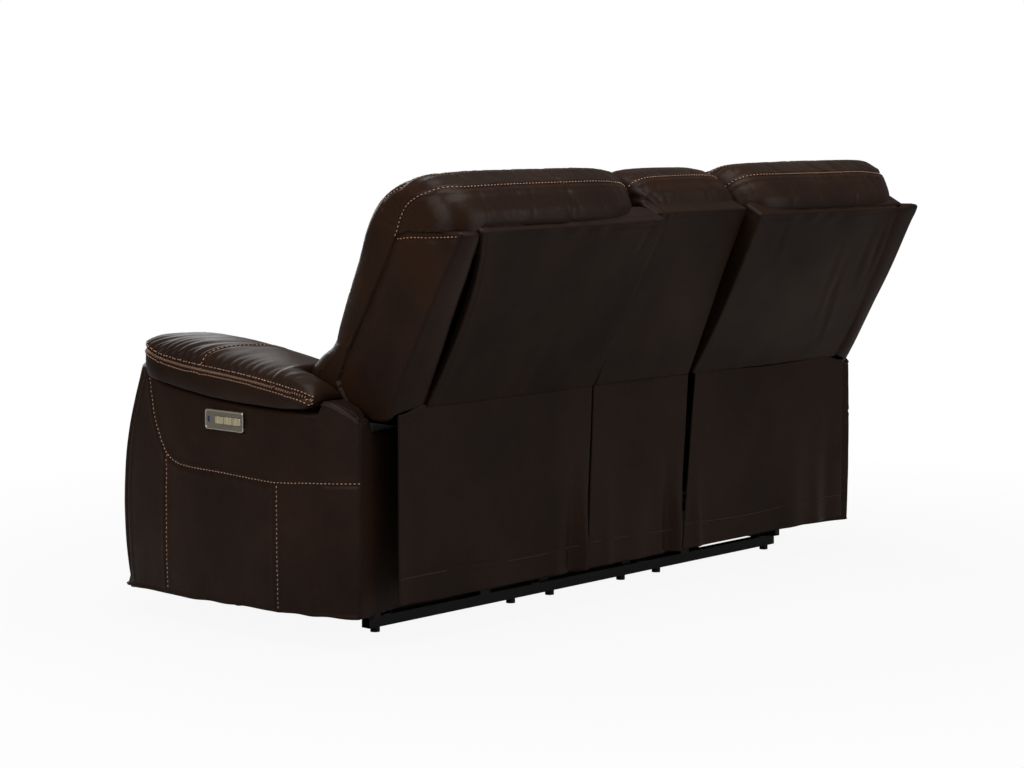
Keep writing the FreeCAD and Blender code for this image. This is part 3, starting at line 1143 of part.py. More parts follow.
def link_bar(name, low, start, end):
    """A bar with round ends between two pin centres."""
    reach = math.hypot(end[0] - start[0], end[1] - start[1])
    way = ((end[0] - start[0]) / reach, (end[1] - start[1]) / reach)
    side = (-way[1] * mm.link_width, way[0] * mm.link_width)
    nose = (way[0] * mm.link_width, way[1] * mm.link_width)
    return prism(
        name, low, low + mm.link_thickness,
        (start[0] + side[0], start[1] + side[1]),
        ((start[0] - nose[0], start[1] - nose[1]), (start[0] - side[0], start[1] - side[1])),
        (end[0] - side[0], end[1] - side[1]),
        ((end[0] + nose[0], end[1] + nose[1]), (end[0] + side[0], end[1] + side[1])),
    )


def cross_bar(name, low, high, spot, radius):
    start = at_x(low)(*spot)
    return solid_feature(name, Part.makeCylinder(radius, high - low, start, FreeCAD.Vector(1, 0, 0)))


# Each layer of plates lies further in than the last: side plate, rear link, front link, footrest ear.
layer = mm.link_thickness + mm.side_play
first_in = mm.seat_inner + mm.plate_inset + mm.side_plate / 2 + mm.side_play
first_out = mm.seat_outer - mm.plate_inset - mm.side_plate / 2 - mm.side_play - mm.link_thickness


def link_pair(name, depth, start, end, tie_share, pinned):
    """Both bars of one body, with a hole at the start, a pin towards the next layer at the end and a tie."""
    inner = first_in + depth * layer
    outer = first_out - depth * layer
    solids = [link_bar(name + "_inner", inner, start, end), link_bar(name + "_outer", outer, start, end)]
    solids.append(cross_bar(name + "_tie", inner + mm.link_thickness / 2, outer + mm.link_thickness / 2,
                            along(start, end, tie_share), mm.tie_radius))
    if pinned:
        reach = layer + mm.link_thickness + mm.side_play / 2
        outer_side = outer + mm.link_thickness
        solids.append(cross_bar(name + "_pin_inner", inner, inner + reach, end, mm.link_pin))
        solids.append(cross_bar(name + "_pin_outer", outer_side - reach, outer_side, end, mm.link_pin))
    through = mm.link_thickness + mm.overcut
    hole_radius = mm.link_pin + mm.pin_play
    hole = cross_bar(name + "_hole", inner - mm.overcut, inner + through, start, hole_radius)
    hole_outer = cross_bar(name + "_hole_outer", outer - mm.overcut, outer + through, start, hole_radius)
    return cut(name, fuse(name + "_whole", *solids), hole, hole_outer)


keep_pair(link_pair("rear_links", 0, LINK_START, LINK_KNEE, 0.25, True), "rear_links")
keep_pair(link_pair("front_links", 1, LINK_KNEE, LINK_END, 0.5, True), "front_links")

# Footrest: a board with two ears on the front links' pins, and a padded leather face.
board_front = -mm.rest_front + mm.rest_pad
rest_low = mm.seat_inner + 4 * mm.soft_gap
rest_high = mm.seat_outer - 4 * mm.soft_gap
board_margin = mm.arm_skin
board_blank = prism("footrest_board_blank", rest_low + board_margin, rest_high - board_margin,
                    (board_front, mm.rest_bottom), (board_front + mm.rest_board, mm.rest_bottom),
                    (board_front + mm.rest_board, mm.rest_top), (board_front, mm.rest_top))
ears = []
ear_holes = []
for place, low in (("inner", first_in + 2 * layer), ("outer", first_out - 2 * layer)):
    ears.append(prism("ear_" + place, low, low + mm.link_thickness,
                      (board_front + mm.rest_board, LINK_END[1] - 2.5 * mm.link_width),
                      (LINK_END[0], LINK_END[1] - mm.link_width), (LINK_END[0], LINK_END[1] + mm.link_width),
                      (board_front + mm.rest_board, LINK_END[1] + 2.5 * mm.link_width)))
    ears.append(cross_bar("ear_eye_" + place, low, low + mm.link_thickness, LINK_END, mm.link_width))
    ear_holes.append(cross_bar("ear_hole_" + place, low - mm.overcut, low + mm.link_thickness + mm.overcut,
                               LINK_END, mm.link_pin + mm.pin_play))
board_whole = fuse("footrest_board_whole", board_blank, *ears)
keep_pair(cut("footrest_board", board_whole, *ear_holes), "footrest_board")


def rest_outline(x, draw):
    face = -mm.rest_front + draw
    corner = face + 0.33 * mm.rest_pad
    shoulder = face + 0.1 * mm.rest_pad
    lip, run = 0.06 * mm.rest_pad, 0.63 * mm.rest_pad
    return closed(
        at_x(x), (board_front, mm.rest_top), ((corner, mm.rest_top - lip), (shoulder, mm.rest_top - run)),
        ((face, (mm.rest_top + mm.rest_bottom) / 2), (shoulder, mm.rest_bottom + run)),
        ((corner, mm.rest_bottom + lip), (board_front, mm.rest_bottom)),
    )


keep_pair(loft("footrest_pad_block", [
    rest_outline(rest_low + share * (rest_high - rest_low), crown(share) * mm.cushion_crown)
    for share in CROWN_SHARES]), "footrest_pad")

doc.recompute()
for thing in doc.Objects:
    if "Invalid" in thing.State or "Error" in thing.State:
        raise RuntimeError("failed: %s %s" % (thing.Name, thing.State))
for piece in nodes:
    if piece.Shape.isNull() or not piece.Shape.isValid() or not piece.Shape.Solids:
        raise RuntimeError("bad shape: " + piece.Label)

os.makedirs("parts", exist_ok=True)
for piece in nodes:
    piece.Shape.exportStep(os.path.join("parts", piece.Label + ".step"))
print(len(nodes), "nodes written")
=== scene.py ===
import json
import math
import bmesh
import bpy
import numpy as np
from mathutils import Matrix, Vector
from mathutils.bvhtree import BVHTree


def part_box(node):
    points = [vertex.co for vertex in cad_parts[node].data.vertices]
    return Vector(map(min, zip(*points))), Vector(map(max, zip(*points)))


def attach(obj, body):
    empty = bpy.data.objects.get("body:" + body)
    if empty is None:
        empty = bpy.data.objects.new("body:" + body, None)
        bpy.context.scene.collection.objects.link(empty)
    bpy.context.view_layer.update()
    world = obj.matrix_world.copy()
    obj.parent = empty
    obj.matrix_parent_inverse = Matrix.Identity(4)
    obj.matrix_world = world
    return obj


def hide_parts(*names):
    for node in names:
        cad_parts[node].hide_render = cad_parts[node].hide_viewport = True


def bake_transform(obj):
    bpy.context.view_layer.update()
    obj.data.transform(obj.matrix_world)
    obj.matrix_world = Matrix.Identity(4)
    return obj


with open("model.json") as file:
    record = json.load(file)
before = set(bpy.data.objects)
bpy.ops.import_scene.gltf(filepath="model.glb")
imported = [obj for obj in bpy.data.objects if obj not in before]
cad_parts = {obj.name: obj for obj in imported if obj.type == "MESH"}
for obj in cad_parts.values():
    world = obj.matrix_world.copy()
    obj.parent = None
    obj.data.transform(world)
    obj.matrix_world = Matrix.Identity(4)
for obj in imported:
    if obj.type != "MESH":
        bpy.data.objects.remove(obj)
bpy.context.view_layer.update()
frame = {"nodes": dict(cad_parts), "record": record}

# Power reclining loveseat seen from behind: dark brown leather with copper thread, on a black steel base.

# Room and camera: a white studio sweep under wide soft lamps, seen from behind and to the sitter's left
# through a long lens, as in the photograph. The arms' rear plane is the one that places are taken from.
rear_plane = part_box("left_arm_cover")[1][1]
view_azimuth, view_pitch = math.radians(132.3), math.radians(6.3)


def added(name, data):
    """A new object in the scene."""
    thing = bpy.data.objects.new(name, data)
    bpy.context.scene.collection.objects.link(thing)
    return thing


camera = added("photo_camera", bpy.data.cameras.new("photo_camera"))
camera.data.lens = 91.3
camera.data.sensor_width = 36.0
camera.data.clip_end = 60.0
camera.location = (4.8158, 3.9935 + rear_plane, 1.206)
aim = Vector((-math.sin(view_azimuth) * math.cos(view_pitch), math.cos(view_azimuth) * math.cos(view_pitch),
              -math.sin(view_pitch)))
camera.rotation_euler = aim.to_track_quat("-Z", "Y").to_euler()
bpy.context.scene.camera = camera
bpy.context.scene.view_settings.view_transform = "Standard"


def linear(hex_colour):
    """Six sRGB hex digits as a linear colour."""
    values = np.array([int(hex_colour[i:i + 2], 16) for i in (0, 2, 4)]) / 255
    lit = np.where(values <= 0.04045, values / 12.92, ((values + 0.055) / 1.055) ** 2.4)
    return (*lit.tolist(), 1.0)


def node(tree, kind, inputs=(), **settings):
    """Adds a shader node. Inputs are values, or other nodes' outputs to link."""
    made = tree.nodes.new("ShaderNode" + kind)
    for name, value in settings.items():
        setattr(made, name, value)
    for socket, value in dict(inputs).items():
        if isinstance(value, bpy.types.NodeSocket):
            tree.links.new(value, made.inputs[socket])
        else:
            made.inputs[socket].default_value = value
    return made


def empty_material(name):
    """A material with only an output, and its node tree."""
    material = bpy.data.materials.new(name)
    material.use_nodes = True
    material.node_tree.nodes.clear()
    return material, material.node_tree


def lamp(name, place, target, size, power):
    """A square soft lamp that faces a point."""
    light = bpy.data.lights.new(name, "AREA")
    light.energy = power
    light.size = size
    holder = added(name, light)
    holder.location = place
    holder.rotation_euler = (Vector(target) - Vector(place)).to_track_quat("-Z", "Y").to_euler()


lamp("overhead_softbox", (0.6, 0.8, 4.2), (0.0, 0.0, 0.6), 3.4, 122)
lamp("left_softbox", (4.6, 0.2, 2.6), (0.3, 0.1, 0.6), 2.4, 80)
lamp("rear_softbox", (-2.2, 4.8, 2.4), (-0.2, 0.2, 0.6), 2.6, 72)
lamp("front_fill", (-1.5, -4.6, 2.6), (0.0, 0.0, 0.6), 3.0, 70)

world = bpy.data.worlds.new("studio")
bpy.context.scene.world = world
world.use_nodes = True
world.node_tree.nodes.clear()
world_rays = node(world.node_tree, "LightPath").outputs
seen = node(world.node_tree, "Math", {0: world_rays["Is Camera Ray"], 1: world_rays["Is Transmission Ray"]},
            operation="MAXIMUM")
world_light = node(world.node_tree, "Background", {"Color": linear("ececec"), "Strength": 0.17})
world_white = node(world.node_tree, "Background", {"Color": (1, 1, 1, 1), "Strength": 1.0})
world_mix = node(world.node_tree, "MixShader", {0: seen.outputs[0], 1: world_light.outputs[0],
                                                2: world_white.outputs[0]})
node(world.node_tree, "OutputWorld", {"Surface": world_mix.outputs[0]})

floor_material, tree = empty_material("studio_floor")
rays = node(tree, "LightPath").outputs
pale = node(tree, "BsdfDiffuse", {"Color": linear("b4b4b4")})
white = node(tree, "Emission", {"Color": (1, 1, 1, 1), "Strength": 1.0})
reach = node(tree, "VectorMath", {0: node(tree, "TexCoord").outputs["Object"]}, operation="LENGTH")
whiter = node(tree, "MapRange", {"Value": reach.outputs["Value"], "From Min": 1.1, "From Max": 2.6,
                                 "To Min": 0.92, "To Max": 1.0})
direct = node(tree, "Math", {0: rays["Is Camera Ray"], 1: rays["Is Transmission Ray"]}, operation="MAXIMUM")
share = node(tree, "Math", {0: direct.outputs[0], 1: whiter.outputs[0]}, operation="MULTIPLY")
floor_mix = node(tree, "MixShader", {0: share.outputs[0], 1: pale.outputs[0], 2: white.outputs[0]})
node(tree, "OutputMaterial", {"Surface": floor_mix.outputs[0]})
floor_mesh = bpy.data.meshes.new("studio_floor")
floor_half = 30.0
floor_corners = [(x * floor_half, y * floor_half, 0) for x, y in ((-1, -1), (1, -1), (1, 1), (-1, 1))]
floor_mesh.from_pydata(floor_corners, [], [(0, 1, 2, 3)])
floor_mesh.materials.append(floor_material)
added("studio_floor", floor_mesh)


# Leather: top-grain hide with a pull-up finish, dyed dark brown. The dye pools in soft warm and dark clouds,
# the pebble of the hide is about 2 mm, drawn slightly coarse, and the wax gives a satin gloss that breaks up
# over fine creases.
def leather(name, dark, middle, warm, roughness, crease_depth):
    material, tree = empty_material(name)
    spot = node(tree, "TexCoord").outputs["Object"]
    clouds = node(tree, "TexNoise", {"Vector": spot, "Scale": 1 / 0.24, "Detail": 3.0, "Roughness": 0.55})
    flecks = node(tree, "TexNoise", {"Vector": spot, "Scale": 1 / 0.012, "Detail": 3.0, "Roughness": 0.6})
    blotch = node(tree, "Math", {0: flecks.outputs["Fac"], 1: 0.22}, operation="MULTIPLY")
    total = node(tree, "Math", {0: clouds.outputs["Fac"], 1: blotch.outputs[0]}, operation="ADD")
    ramp = node(tree, "ValToRGB", {"Fac": total.outputs[0]})
    ramp.color_ramp.elements[0].position = 0.44
    ramp.color_ramp.elements[0].color = linear(dark)
    ramp.color_ramp.elements[1].position = 0.80
    ramp.color_ramp.elements[1].color = linear(warm)
    ramp.color_ramp.elements.new(0.60).color = linear(middle)
    pebble = node(tree, "TexVoronoi", {"Vector": spot, "Scale": 1 / 0.0021, "Randomness": 1.0})
    wrinkle = node(tree, "TexNoise", {"Vector": spot, "Scale": 1 / 0.009, "Detail": 5.0, "Roughness": 0.65,
                                      "Distortion": 0.8})
    grain = node(tree, "Bump", {"Height": pebble.outputs["Distance"], "Strength": 0.35, "Distance": 0.00035})
    creases = node(tree, "Bump", {"Height": wrinkle.outputs["Fac"], "Strength": 0.5, "Distance": crease_depth,
                                  "Normal": grain.outputs[0]})
    wax = node(tree, "MapRange", {"Value": clouds.outputs["Fac"], "From Min": 0.3, "From Max": 0.7,
                                  "To Min": roughness + 0.07, "To Max": roughness - 0.06})
    hide = node(tree, "BsdfPrincipled", {"Base Color": ramp.outputs[0], "Roughness": wax.outputs[0],
                                         "Normal": creases.outputs[0], "IOR": 1.5,
                                         "Specular IOR Level": 0.1})
    node(tree, "OutputMaterial", {"Surface": hide.outputs[0]})
    return material


brown_hide = leather("waxed_brown_hide", "20140e", "261811", "2e1d13", 0.37, 0.0011)
panel_hide = leather("flat_brown_hide", "20150f", "251810", "2a1b12", 0.45, 0.0006)


# Arm covers: leather over foam on the plywood arm frames. The outer face is one bowed panel cut by a swept
# seam and two upright ones, sewn in copper thread, and it wraps to a corner roll at the front. The cover is
# a shell, open below, with a padded rim. Plans are drawn in millimetres: x from the middle to the sitter's
# left, aft from the arms' rear plane, and height from the floor. Left and right are built alike.
mm = 0.001
SIDES = (("left", 1), ("right", -1))


def placed(x, aft, height):
    """Plan millimetres as points in metres."""
    x, aft, height = np.broadcast_arrays(x, aft, height)
    return np.stack([x, aft, height], axis=-1) * mm + (0.0, rear_plane, 0.0)


def through(points, count):
    """Evenly spaced points on a smooth curve through the given ones (Catmull-Rom spans)."""
    given = np.asarray(points, float)
    ends = np.vstack([2 * given[0] - given[1], given, 2 * given[-1] - given[-2]])
    t = np.linspace(0, 1, 24, endpoint=False)[:, None]
    spans = [0.5 * (2 * b + (c - a) * t + (2 * a - 5 * b + 4 * c - d) * t ** 2
                    + (3 * b - a - 3 * c + d) * t ** 3)
             for a, b, c, d in zip(ends[:-3], ends[1:-2], ends[2:-1], ends[3:])]
    return evenly(np.vstack(spans + [ends[-2:-1]]), count)


def evenly(line, count, looped=False):
    """Points at even distances along a line of points."""
    run = np.r_[0, np.cumsum(np.linalg.norm(np.diff(line, axis=0), axis=1))]
    at = np.linspace(0, run[-1], count, endpoint=not looped)
    return np.stack([np.interp(at, run, line[:, axis]) for axis in range(line.shape[1])], axis=-1)


def softened(corners, radius, count):
    """A closed outline of even points, its corners rounded by averaging along it over about the radius."""
    corners = np.asarray(corners, float)
    even = evenly(np.vstack([corners, corners[:1]]), count, looped=True)
    spacing = np.linalg.norm(np.roll(even, -1, axis=0) - even, axis=1).mean()
    keep = np.exp(-2 * (np.pi * np.fft.fftfreq(count) * 0.55 * radius / spacing) ** 2)[:, None]
    return np.real(np.fft.ifft(np.fft.fft(even, axis=0) * keep, axis=0))


def drawn_in(ring, distance):
    """A closed outline moved inward by a distance, square to its own edge."""
    ahead = np.roll(ring, -1, axis=0) - np.roll(ring, 1, axis=0)
    outward = np.stack([ahead[:, 1], -ahead[:, 0]], axis=-1) / np.linalg.norm(ahead, axis=1, keepdims=True)
    turn = np.sign(np.sum(ring[:, 0] * np.roll(ring[:, 1], -1) - np.roll(ring[:, 0], -1) * ring[:, 1]))
    return ring - turn * outward * np.reshape(distance, (-1, 1))


def ramp_up(value, low, high):
    """Smooth step from 0 at low to 1 at high."""
    t = np.clip((value - low) / (high - low), 0, 1)
    return t * t * (3 - 2 * t)


def skin(name, rows, side=1, material=None):
    """A closed mesh over rows of rings in plan millimetres: each ring is joined to the next, and each end
    ring to its own middle. The sitter's right is mirrored. Faces are turned outward by the signed volume."""
    rows = np.asarray(rows, float)
    count, around = rows.shape[:2]
    points = np.vstack([rows.reshape(-1, 3), rows[0].mean(axis=0), rows[-1].mean(axis=0)])
    points[:, 0] *= side
    points = placed(*points.T)
    index = np.arange(count * around).reshape(count, around)
    ahead = np.roll(index, -1, axis=1)
    quads = np.stack([index[:-1], ahead[:-1], ahead[1:], index[1:]], axis=-1).reshape(-1, 4)
    first = np.stack([ahead[0], index[0], np.full(around, count * around)], axis=-1)
    last = np.stack([index[-1], ahead[-1], np.full(around, count * around + 1)], axis=-1)
    triangles = np.vstack([quads[:, :3], quads[:, [0, 2, 3]], first, last])
    a, b, c = (points[triangles[:, i]] for i in range(3))
    volume = np.sum(a * np.cross(b, c))
    faces = quads.tolist() + first.tolist() + last.tolist()
    if volume < 0:
        faces = [face[::-1] for face in faces]
    mesh = bpy.data.meshes.new(name)
    mesh.from_pydata(points.tolist(), [], faces)
    mesh.shade_smooth()
    mesh.materials.append(material or brown_hide)
    return added(name, mesh)


def spots_of(mesh, layer="co"):
    """A mesh's points in metres, or its normals, as rows of three."""
    flat = np.empty(len(mesh.vertices) * 3)
    mesh.vertices.foreach_get(layer, flat)
    return flat.reshape(-1, 3)


def move_to(mesh, spots):
    """Sets a mesh's points, in metres."""
    mesh.vertices.foreach_set("co", spots.ravel())
    mesh.update()


def plan(piece, side=1):
    """A piece's points in plan millimetres, mirrored back to the sitter's left."""
    return (spots_of(piece.data) - (0.0, rear_plane, 0.0)) / mm * (side, 1, 1)


def relief(piece, height):
    """Moves each point along its normal by a height in millimetres."""
    move_to(piece.data, spots_of(piece.data) + spots_of(piece.data, "normal") * (height * mm)[:, None])


def near_line(points, line):
    """How far each point is from a line of points, and how far along the line it lies."""
    run = np.r_[0, np.cumsum(np.linalg.norm(np.diff(line, axis=0), axis=1))]
    gap, along = np.full(len(points), 1e6), np.zeros(len(points))
    for start in range(0, len(line), 16):
        part = line[start:start + 16]
        apart = np.linalg.norm(points[:, None] - part[None], axis=2)
        nearest = apart.argmin(axis=1)
        reach = apart[np.arange(len(points)), nearest]
        along = np.where(reach < gap, run[start + nearest], along)
        gap = np.minimum(gap, reach)
    return gap, along


def ripples(points, wave, seed):
    """A smooth uneven field between about -1 and 1: plane waves in seeded directions, of about one length."""
    random = np.random.default_rng(seed)
    total = np.zeros(len(points))
    for _ in range(9):
        direction = random.normal(size=3)
        direction /= np.linalg.norm(direction)
        total += np.sin(points @ direction * 2 * math.pi / (wave * random.uniform(0.7, 1.5))
                        + random.uniform(0, 2 * math.pi))
    return total / 4.5


def groove(gap, depth, width, puff=0.35):
    """The height across a seam: a narrow valley between two low swells."""
    valley = np.exp(-(gap / width) ** 2)
    return depth * (puff * np.exp(-((gap - 2.6 * width) / (1.6 * width)) ** 2) - valley)


def laid_on(piece, path, side=1):
    """A path's nearest points on a piece's surface and the normals there, in metres."""
    bpy.context.view_layer.update()
    surface = BVHTree.FromObject(piece, bpy.context.evaluated_depsgraph_get())
    found = [surface.find_nearest(Vector(point)) for point in placed(*(np.asarray(path) * (side, 1, 1)).T)]
    return np.array([hit[0][:] for hit in found]), np.array([hit[1][:] for hit in found])


def sewn_path(piece, points, side=1, spacing=4.0):
    """A smooth line laid on a piece's surface, in plan millimetres of the sitter's left."""
    length = np.linalg.norm(np.diff(np.asarray(points, float), axis=0), axis=1).sum()
    line = through(points, max(8, int(length / spacing)))
    spots, _ = laid_on(piece, line, side)
    return (spots - (0.0, rear_plane, 0.0)) / mm * (side, 1, 1)


copper_thread, tree = empty_material("copper_bonded_thread")
thread_spot = node(tree, "TexCoord").outputs["Object"]
thread_noise = node(tree, "TexNoise", {"Vector": thread_spot, "Scale": 1 / 0.004, "Detail": 2.0})
thread_ramp = node(tree, "ValToRGB", {"Fac": thread_noise.outputs["Fac"]})
thread_ramp.color_ramp.elements[0].color = linear("a9755a")
thread_ramp.color_ramp.elements[1].color = linear("dcab88")
thread_twist = node(tree, "TexNoise", {"Vector": thread_spot, "Scale": 1 / 0.0012, "Detail": 2.0})
thread_bump = node(tree, "Bump", {"Height": thread_twist.outputs["Fac"], "Strength": 0.6, "Distance": 0.0003})
thread_surface = node(tree, "BsdfPrincipled", {"Base Color": thread_ramp.outputs[0], "Roughness": 0.55,
                                               "Normal": thread_bump.outputs[0], "Sheen Weight": 0.3})
node(tree, "OutputMaterial", {"Surface": thread_surface.outputs[0]})


def stitches(name, piece, body, lines, side=1, pitch=10.0, length=5.0, radius=1.0, slant=0.0):
    """Dashes of thread on a piece: each is a thin pod with pointed ends, laid along its line, or slanted
    across it, and bowed over the leather. They ride on the body where one is given."""
    centres, alongs, normals = [], [], []
    for line in lines:
        total = np.linalg.norm(np.diff(line, axis=0), axis=1).sum()
        spots, upward = laid_on(piece, evenly(np.asarray(line), max(3, int(total / pitch))), side)
        way = np.gradient(spots, axis=0)
        centres.append(spots)
        alongs.append(way / np.linalg.norm(way, axis=1, keepdims=True))
        normals.append(upward)
    centre, along, up = np.vstack(centres), np.vstack(alongs), np.vstack(normals)
    across = np.cross(up, along)
    across /= np.linalg.norm(across, axis=1, keepdims=True)
    tilt = math.radians(slant) * side
    along, across = (along * math.cos(tilt) + across * math.sin(tilt),
                     across * math.cos(tilt) - along * math.sin(tilt))
    stations = np.array([-0.5, -0.36, 0.0, 0.36, 0.5])
    width = np.array([0.4, 0.92, 1.0, 0.92, 0.4]) * radius * mm
    lift = (0.9 - 4.0 * stations ** 2 * 1.1) * radius * mm
    turn = np.arange(5) * 2 * math.pi / 5
    rings = (centre[:, None, None] + along[:, None, None] * (stations * length * mm)[None, :, None, None]
             + up[:, None, None] * (lift[:, None] + width[:, None] * np.cos(turn))[None, :, :, None]
             + across[:, None, None] * (width[:, None] * np.sin(turn))[None, :, :, None])
    tips = np.stack([rings[:, 0].mean(axis=1), rings[:, -1].mean(axis=1)], axis=1)
    points = np.concatenate([rings.reshape(len(centre), 25, 3), tips], axis=1)
    index = np.arange(25).reshape(5, 5)
    ahead = np.roll(index, -1, axis=1)
    quads = np.stack([index[:-1], ahead[:-1], ahead[1:], index[1:]], axis=-1).reshape(-1, 4)
    ends = np.vstack([np.stack([ahead[0], index[0], np.full(5, 25)], axis=-1),
                      np.stack([index[-1], ahead[-1], np.full(5, 26)], axis=-1)])
    shift = (np.arange(len(centre)) * 27)[:, None, None]
    faces = (quads[None] + shift).reshape(-1, 4).tolist() + (ends[None] + shift).reshape(-1, 3).tolist()
    first = points[0]
    a, b, c = first[quads[:, 0]], first[quads[:, 1]], first[quads[:, 2]]
    middle = first.mean(axis=0)
    if np.sum((a - middle) * np.cross(b - middle, c - middle)) < 0:
        faces = [face[::-1] for face in faces]
    mesh = bpy.data.meshes.new(name)
    mesh.from_pydata(points.reshape(-1, 3).tolist(), [], faces)
    mesh.shade_smooth()
    mesh.materials.append(copper_thread)
    thread = added(name, mesh)
    if body:
        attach(thread, body)
    return thread


def upholstered(piece, body, fill, *nodes):
    """Puts a padded leather piece on a body, in the place of its nodes."""
    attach(piece, body)
    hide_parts(*nodes)


def welt(name, path, radius, side):
    """A round cord of leather along a line of plan points, closed at both ends."""
    path = np.asarray(path, float)
    way = np.gradient(path, axis=0)
    way /= np.linalg.norm(way, axis=1, keepdims=True)
    aside = np.cross(way, (0.02, 0.05, 1.0))
    aside /= np.linalg.norm(aside, axis=1, keepdims=True)
    over = np.cross(aside, way)
    turn = np.linspace(0, 2 * math.pi, 10, endpoint=False)
    taper = np.ones(len(path))
    taper[[0, -1]] = 0.5
    rows = path[:, None] + radius * taper[:, None, None] * (aside[:, None] * np.cos(turn)[None, :, None]
                                                            + over[:, None] * np.sin(turn)[None, :, None])
    return skin(name, rows, side)


arm_outline = softened(np.vstack([
    through([(920, 0), (940, -50), (953, -102), (963, -160), (969, -221), (971.5, -330), (972, -442),
             (969, -560), (960, -680), (951, -740), (940, -772), (917, -788), (863, -792)], 60),
    [(790, -785)], through([(768, -779), (749, -768), (738, -750), (735, -728)], 8), [(735, -45)]]), 5, 430)
deck_curve = np.polyfit([-96, -444, -792], [524, 532, 592], 2)
belly_height = 250.0
lining_top, lining_gap = 462.0, 8


def arm_top(x, aft):
    """Height of the cover's top: a hollow deck under the pad, a rounded hump behind it and a low floor
    beside it, where the back's wing stands."""
    deck = np.polyval(deck_curve, aft)
    hump = 505 + 43 * np.sin(np.pi / 2 * np.clip(-aft / 95, 0, 1)) ** 0.9
    top = deck + (hump - deck) * ramp_up(aft, -102, -92)
    return top + (478 - top) * ramp_up(-x, -880, -870) * ramp_up(aft, -222, -212)


def arm_wall(height, ring):
    """The outline at a height: the front falls back and the outer face draws in away from the belly."""
    fall = ((height - belly_height) / 282) ** 2
    x = ring[:, 0] - 8 * fall * ramp_up(ring[:, 0], 800, 950)
    return np.stack([x, ring[:, 1] + 45 * fall * ramp_up(-ring[:, 1], 560, 760)], axis=-1)


def arm_rows():
    """Rings of the cover: across its inside top, down its lining, round the rim, up the outer wall, over a
    quarter round edge and across the top to the middle."""
    rim = 76 + 15 * arm_outline[:, 1] / 790
    edge = 12.0
    wall_top = arm_top(*arm_outline.T) - edge
    inner = drawn_in(arm_wall(lining_top, arm_outline), lining_gap)
    middle = np.array([[855.0, -400.0]])
    rows = []
    for share in (0.1, 0.5, 0.9, 1.0):
        spot = middle + (inner - middle) * share
        rows.append(np.column_stack([spot, np.full(len(spot), lining_top)]))
    for share in np.linspace(0.9, 0.1, 6):
        height = rim + 4 + share * (lining_top - rim - 4)
        rows.append(np.column_stack([drawn_in(arm_wall(height, arm_outline), lining_gap), height]))
    for turn in np.radians([0, 45, 90, 135, 180]):
        rows.append(np.column_stack([drawn_in(arm_outline, 4 + 4 * math.cos(turn)), rim - 3 * math.sin(turn)]))
    for share in np.linspace(0.01, 1, 96):
        height = rim + share * (wall_top - rim)
        rows.append(np.column_stack([arm_wall(height, arm_outline), height]))
    for turn in np.radians([18, 36, 54, 72, 90]):
        spot = drawn_in(arm_wall(wall_top, arm_outline), edge * (1 - math.cos(turn)))
        rows.append(np.column_stack([spot, wall_top + edge * math.sin(turn)]))
    brim = rows[-1][:, :2]
    for share in np.r_[np.linspace(0.985, 0.6, 24), np.linspace(0.5, 0.04, 8)]:
        spot = middle + (brim - middle) * share
        rows.append(np.column_stack([spot, arm_top(*spot.T)]))
    return rows


swept_seam = [(968, -670, 566), (968, -655, 520), (968, -639, 473), (968, -618, 432), (968, -592, 395),
              (968, -561, 374), (968, -512, 365), (968, -400, 362), (968, -300, 358), (968, -216, 356),
              (962, -131, 362), (935, -40, 367), (918, -2, 369)]
front_upright = [(966, -590, 386), (966, -592, 240), (966, -594, 80)]
rear_upright = [(966, -215, 350), (966, -215, 200), (966, -215, 80)]
corner_roll = [(955, -701, 570), (957, -737, 448), (956, -750, 321), (956, -752, 155), (956, -749, 66)]

for word, side in SIDES:
    cover = skin(word + "_arm_leather", arm_rows(), side)
    seams = [sewn_path(cover, line, side) for line in (swept_seam, front_upright, rear_upright)]
    roll = sewn_path(cover, corner_roll, side)
    points = plan(cover, side)
    shape = 0.7 * ripples(points, 210, 11 + side) + 0.25 * ripples(points, 60, 21 + side)
    for line in seams:
        gap, along = near_line(points, line)
        shape += groove(gap, 2.2, 3.4)
        shape += 0.35 * np.exp(-(gap / 14) ** 2) * np.sin(along / 5.5 + np.sin(along / 31))
    gap, _ = near_line(points, roll)
    shape += groove(gap, 3.0, 4.5, 0.6)
    outside = ramp_up(points[:, 0], 880, 930) * ramp_up(-points[:, 1], -5, 20)
    loose_foot = ramp_up(-points[:, 2], -150, -90)
    shape += outside * 1.1 * loose_foot * np.sin(points[:, 1] / 23 + 3 * ripples(points, 300, 5))
    relief(cover, shape)
    upholstered(cover, "root", 0.8, word + "_arm_cover")
    beside = [line + (0, 0, 4.0) if number == 0 else line + (0, 4.0, 0) for number, line in enumerate(seams)]
    stitches(word + "_arm_stitching", cover, "root", beside, side)
    edge_line = sewn_path(cover, [(948, -97, 543), (944, -60, 534), (935, -25, 519), (922, -3, 503),
                                  (905, -6, 500)], side)
    piping = welt(word + "_arm_hump_piping", edge_line + (1, 0, 1), 2.6, side)
    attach(piping, "root")


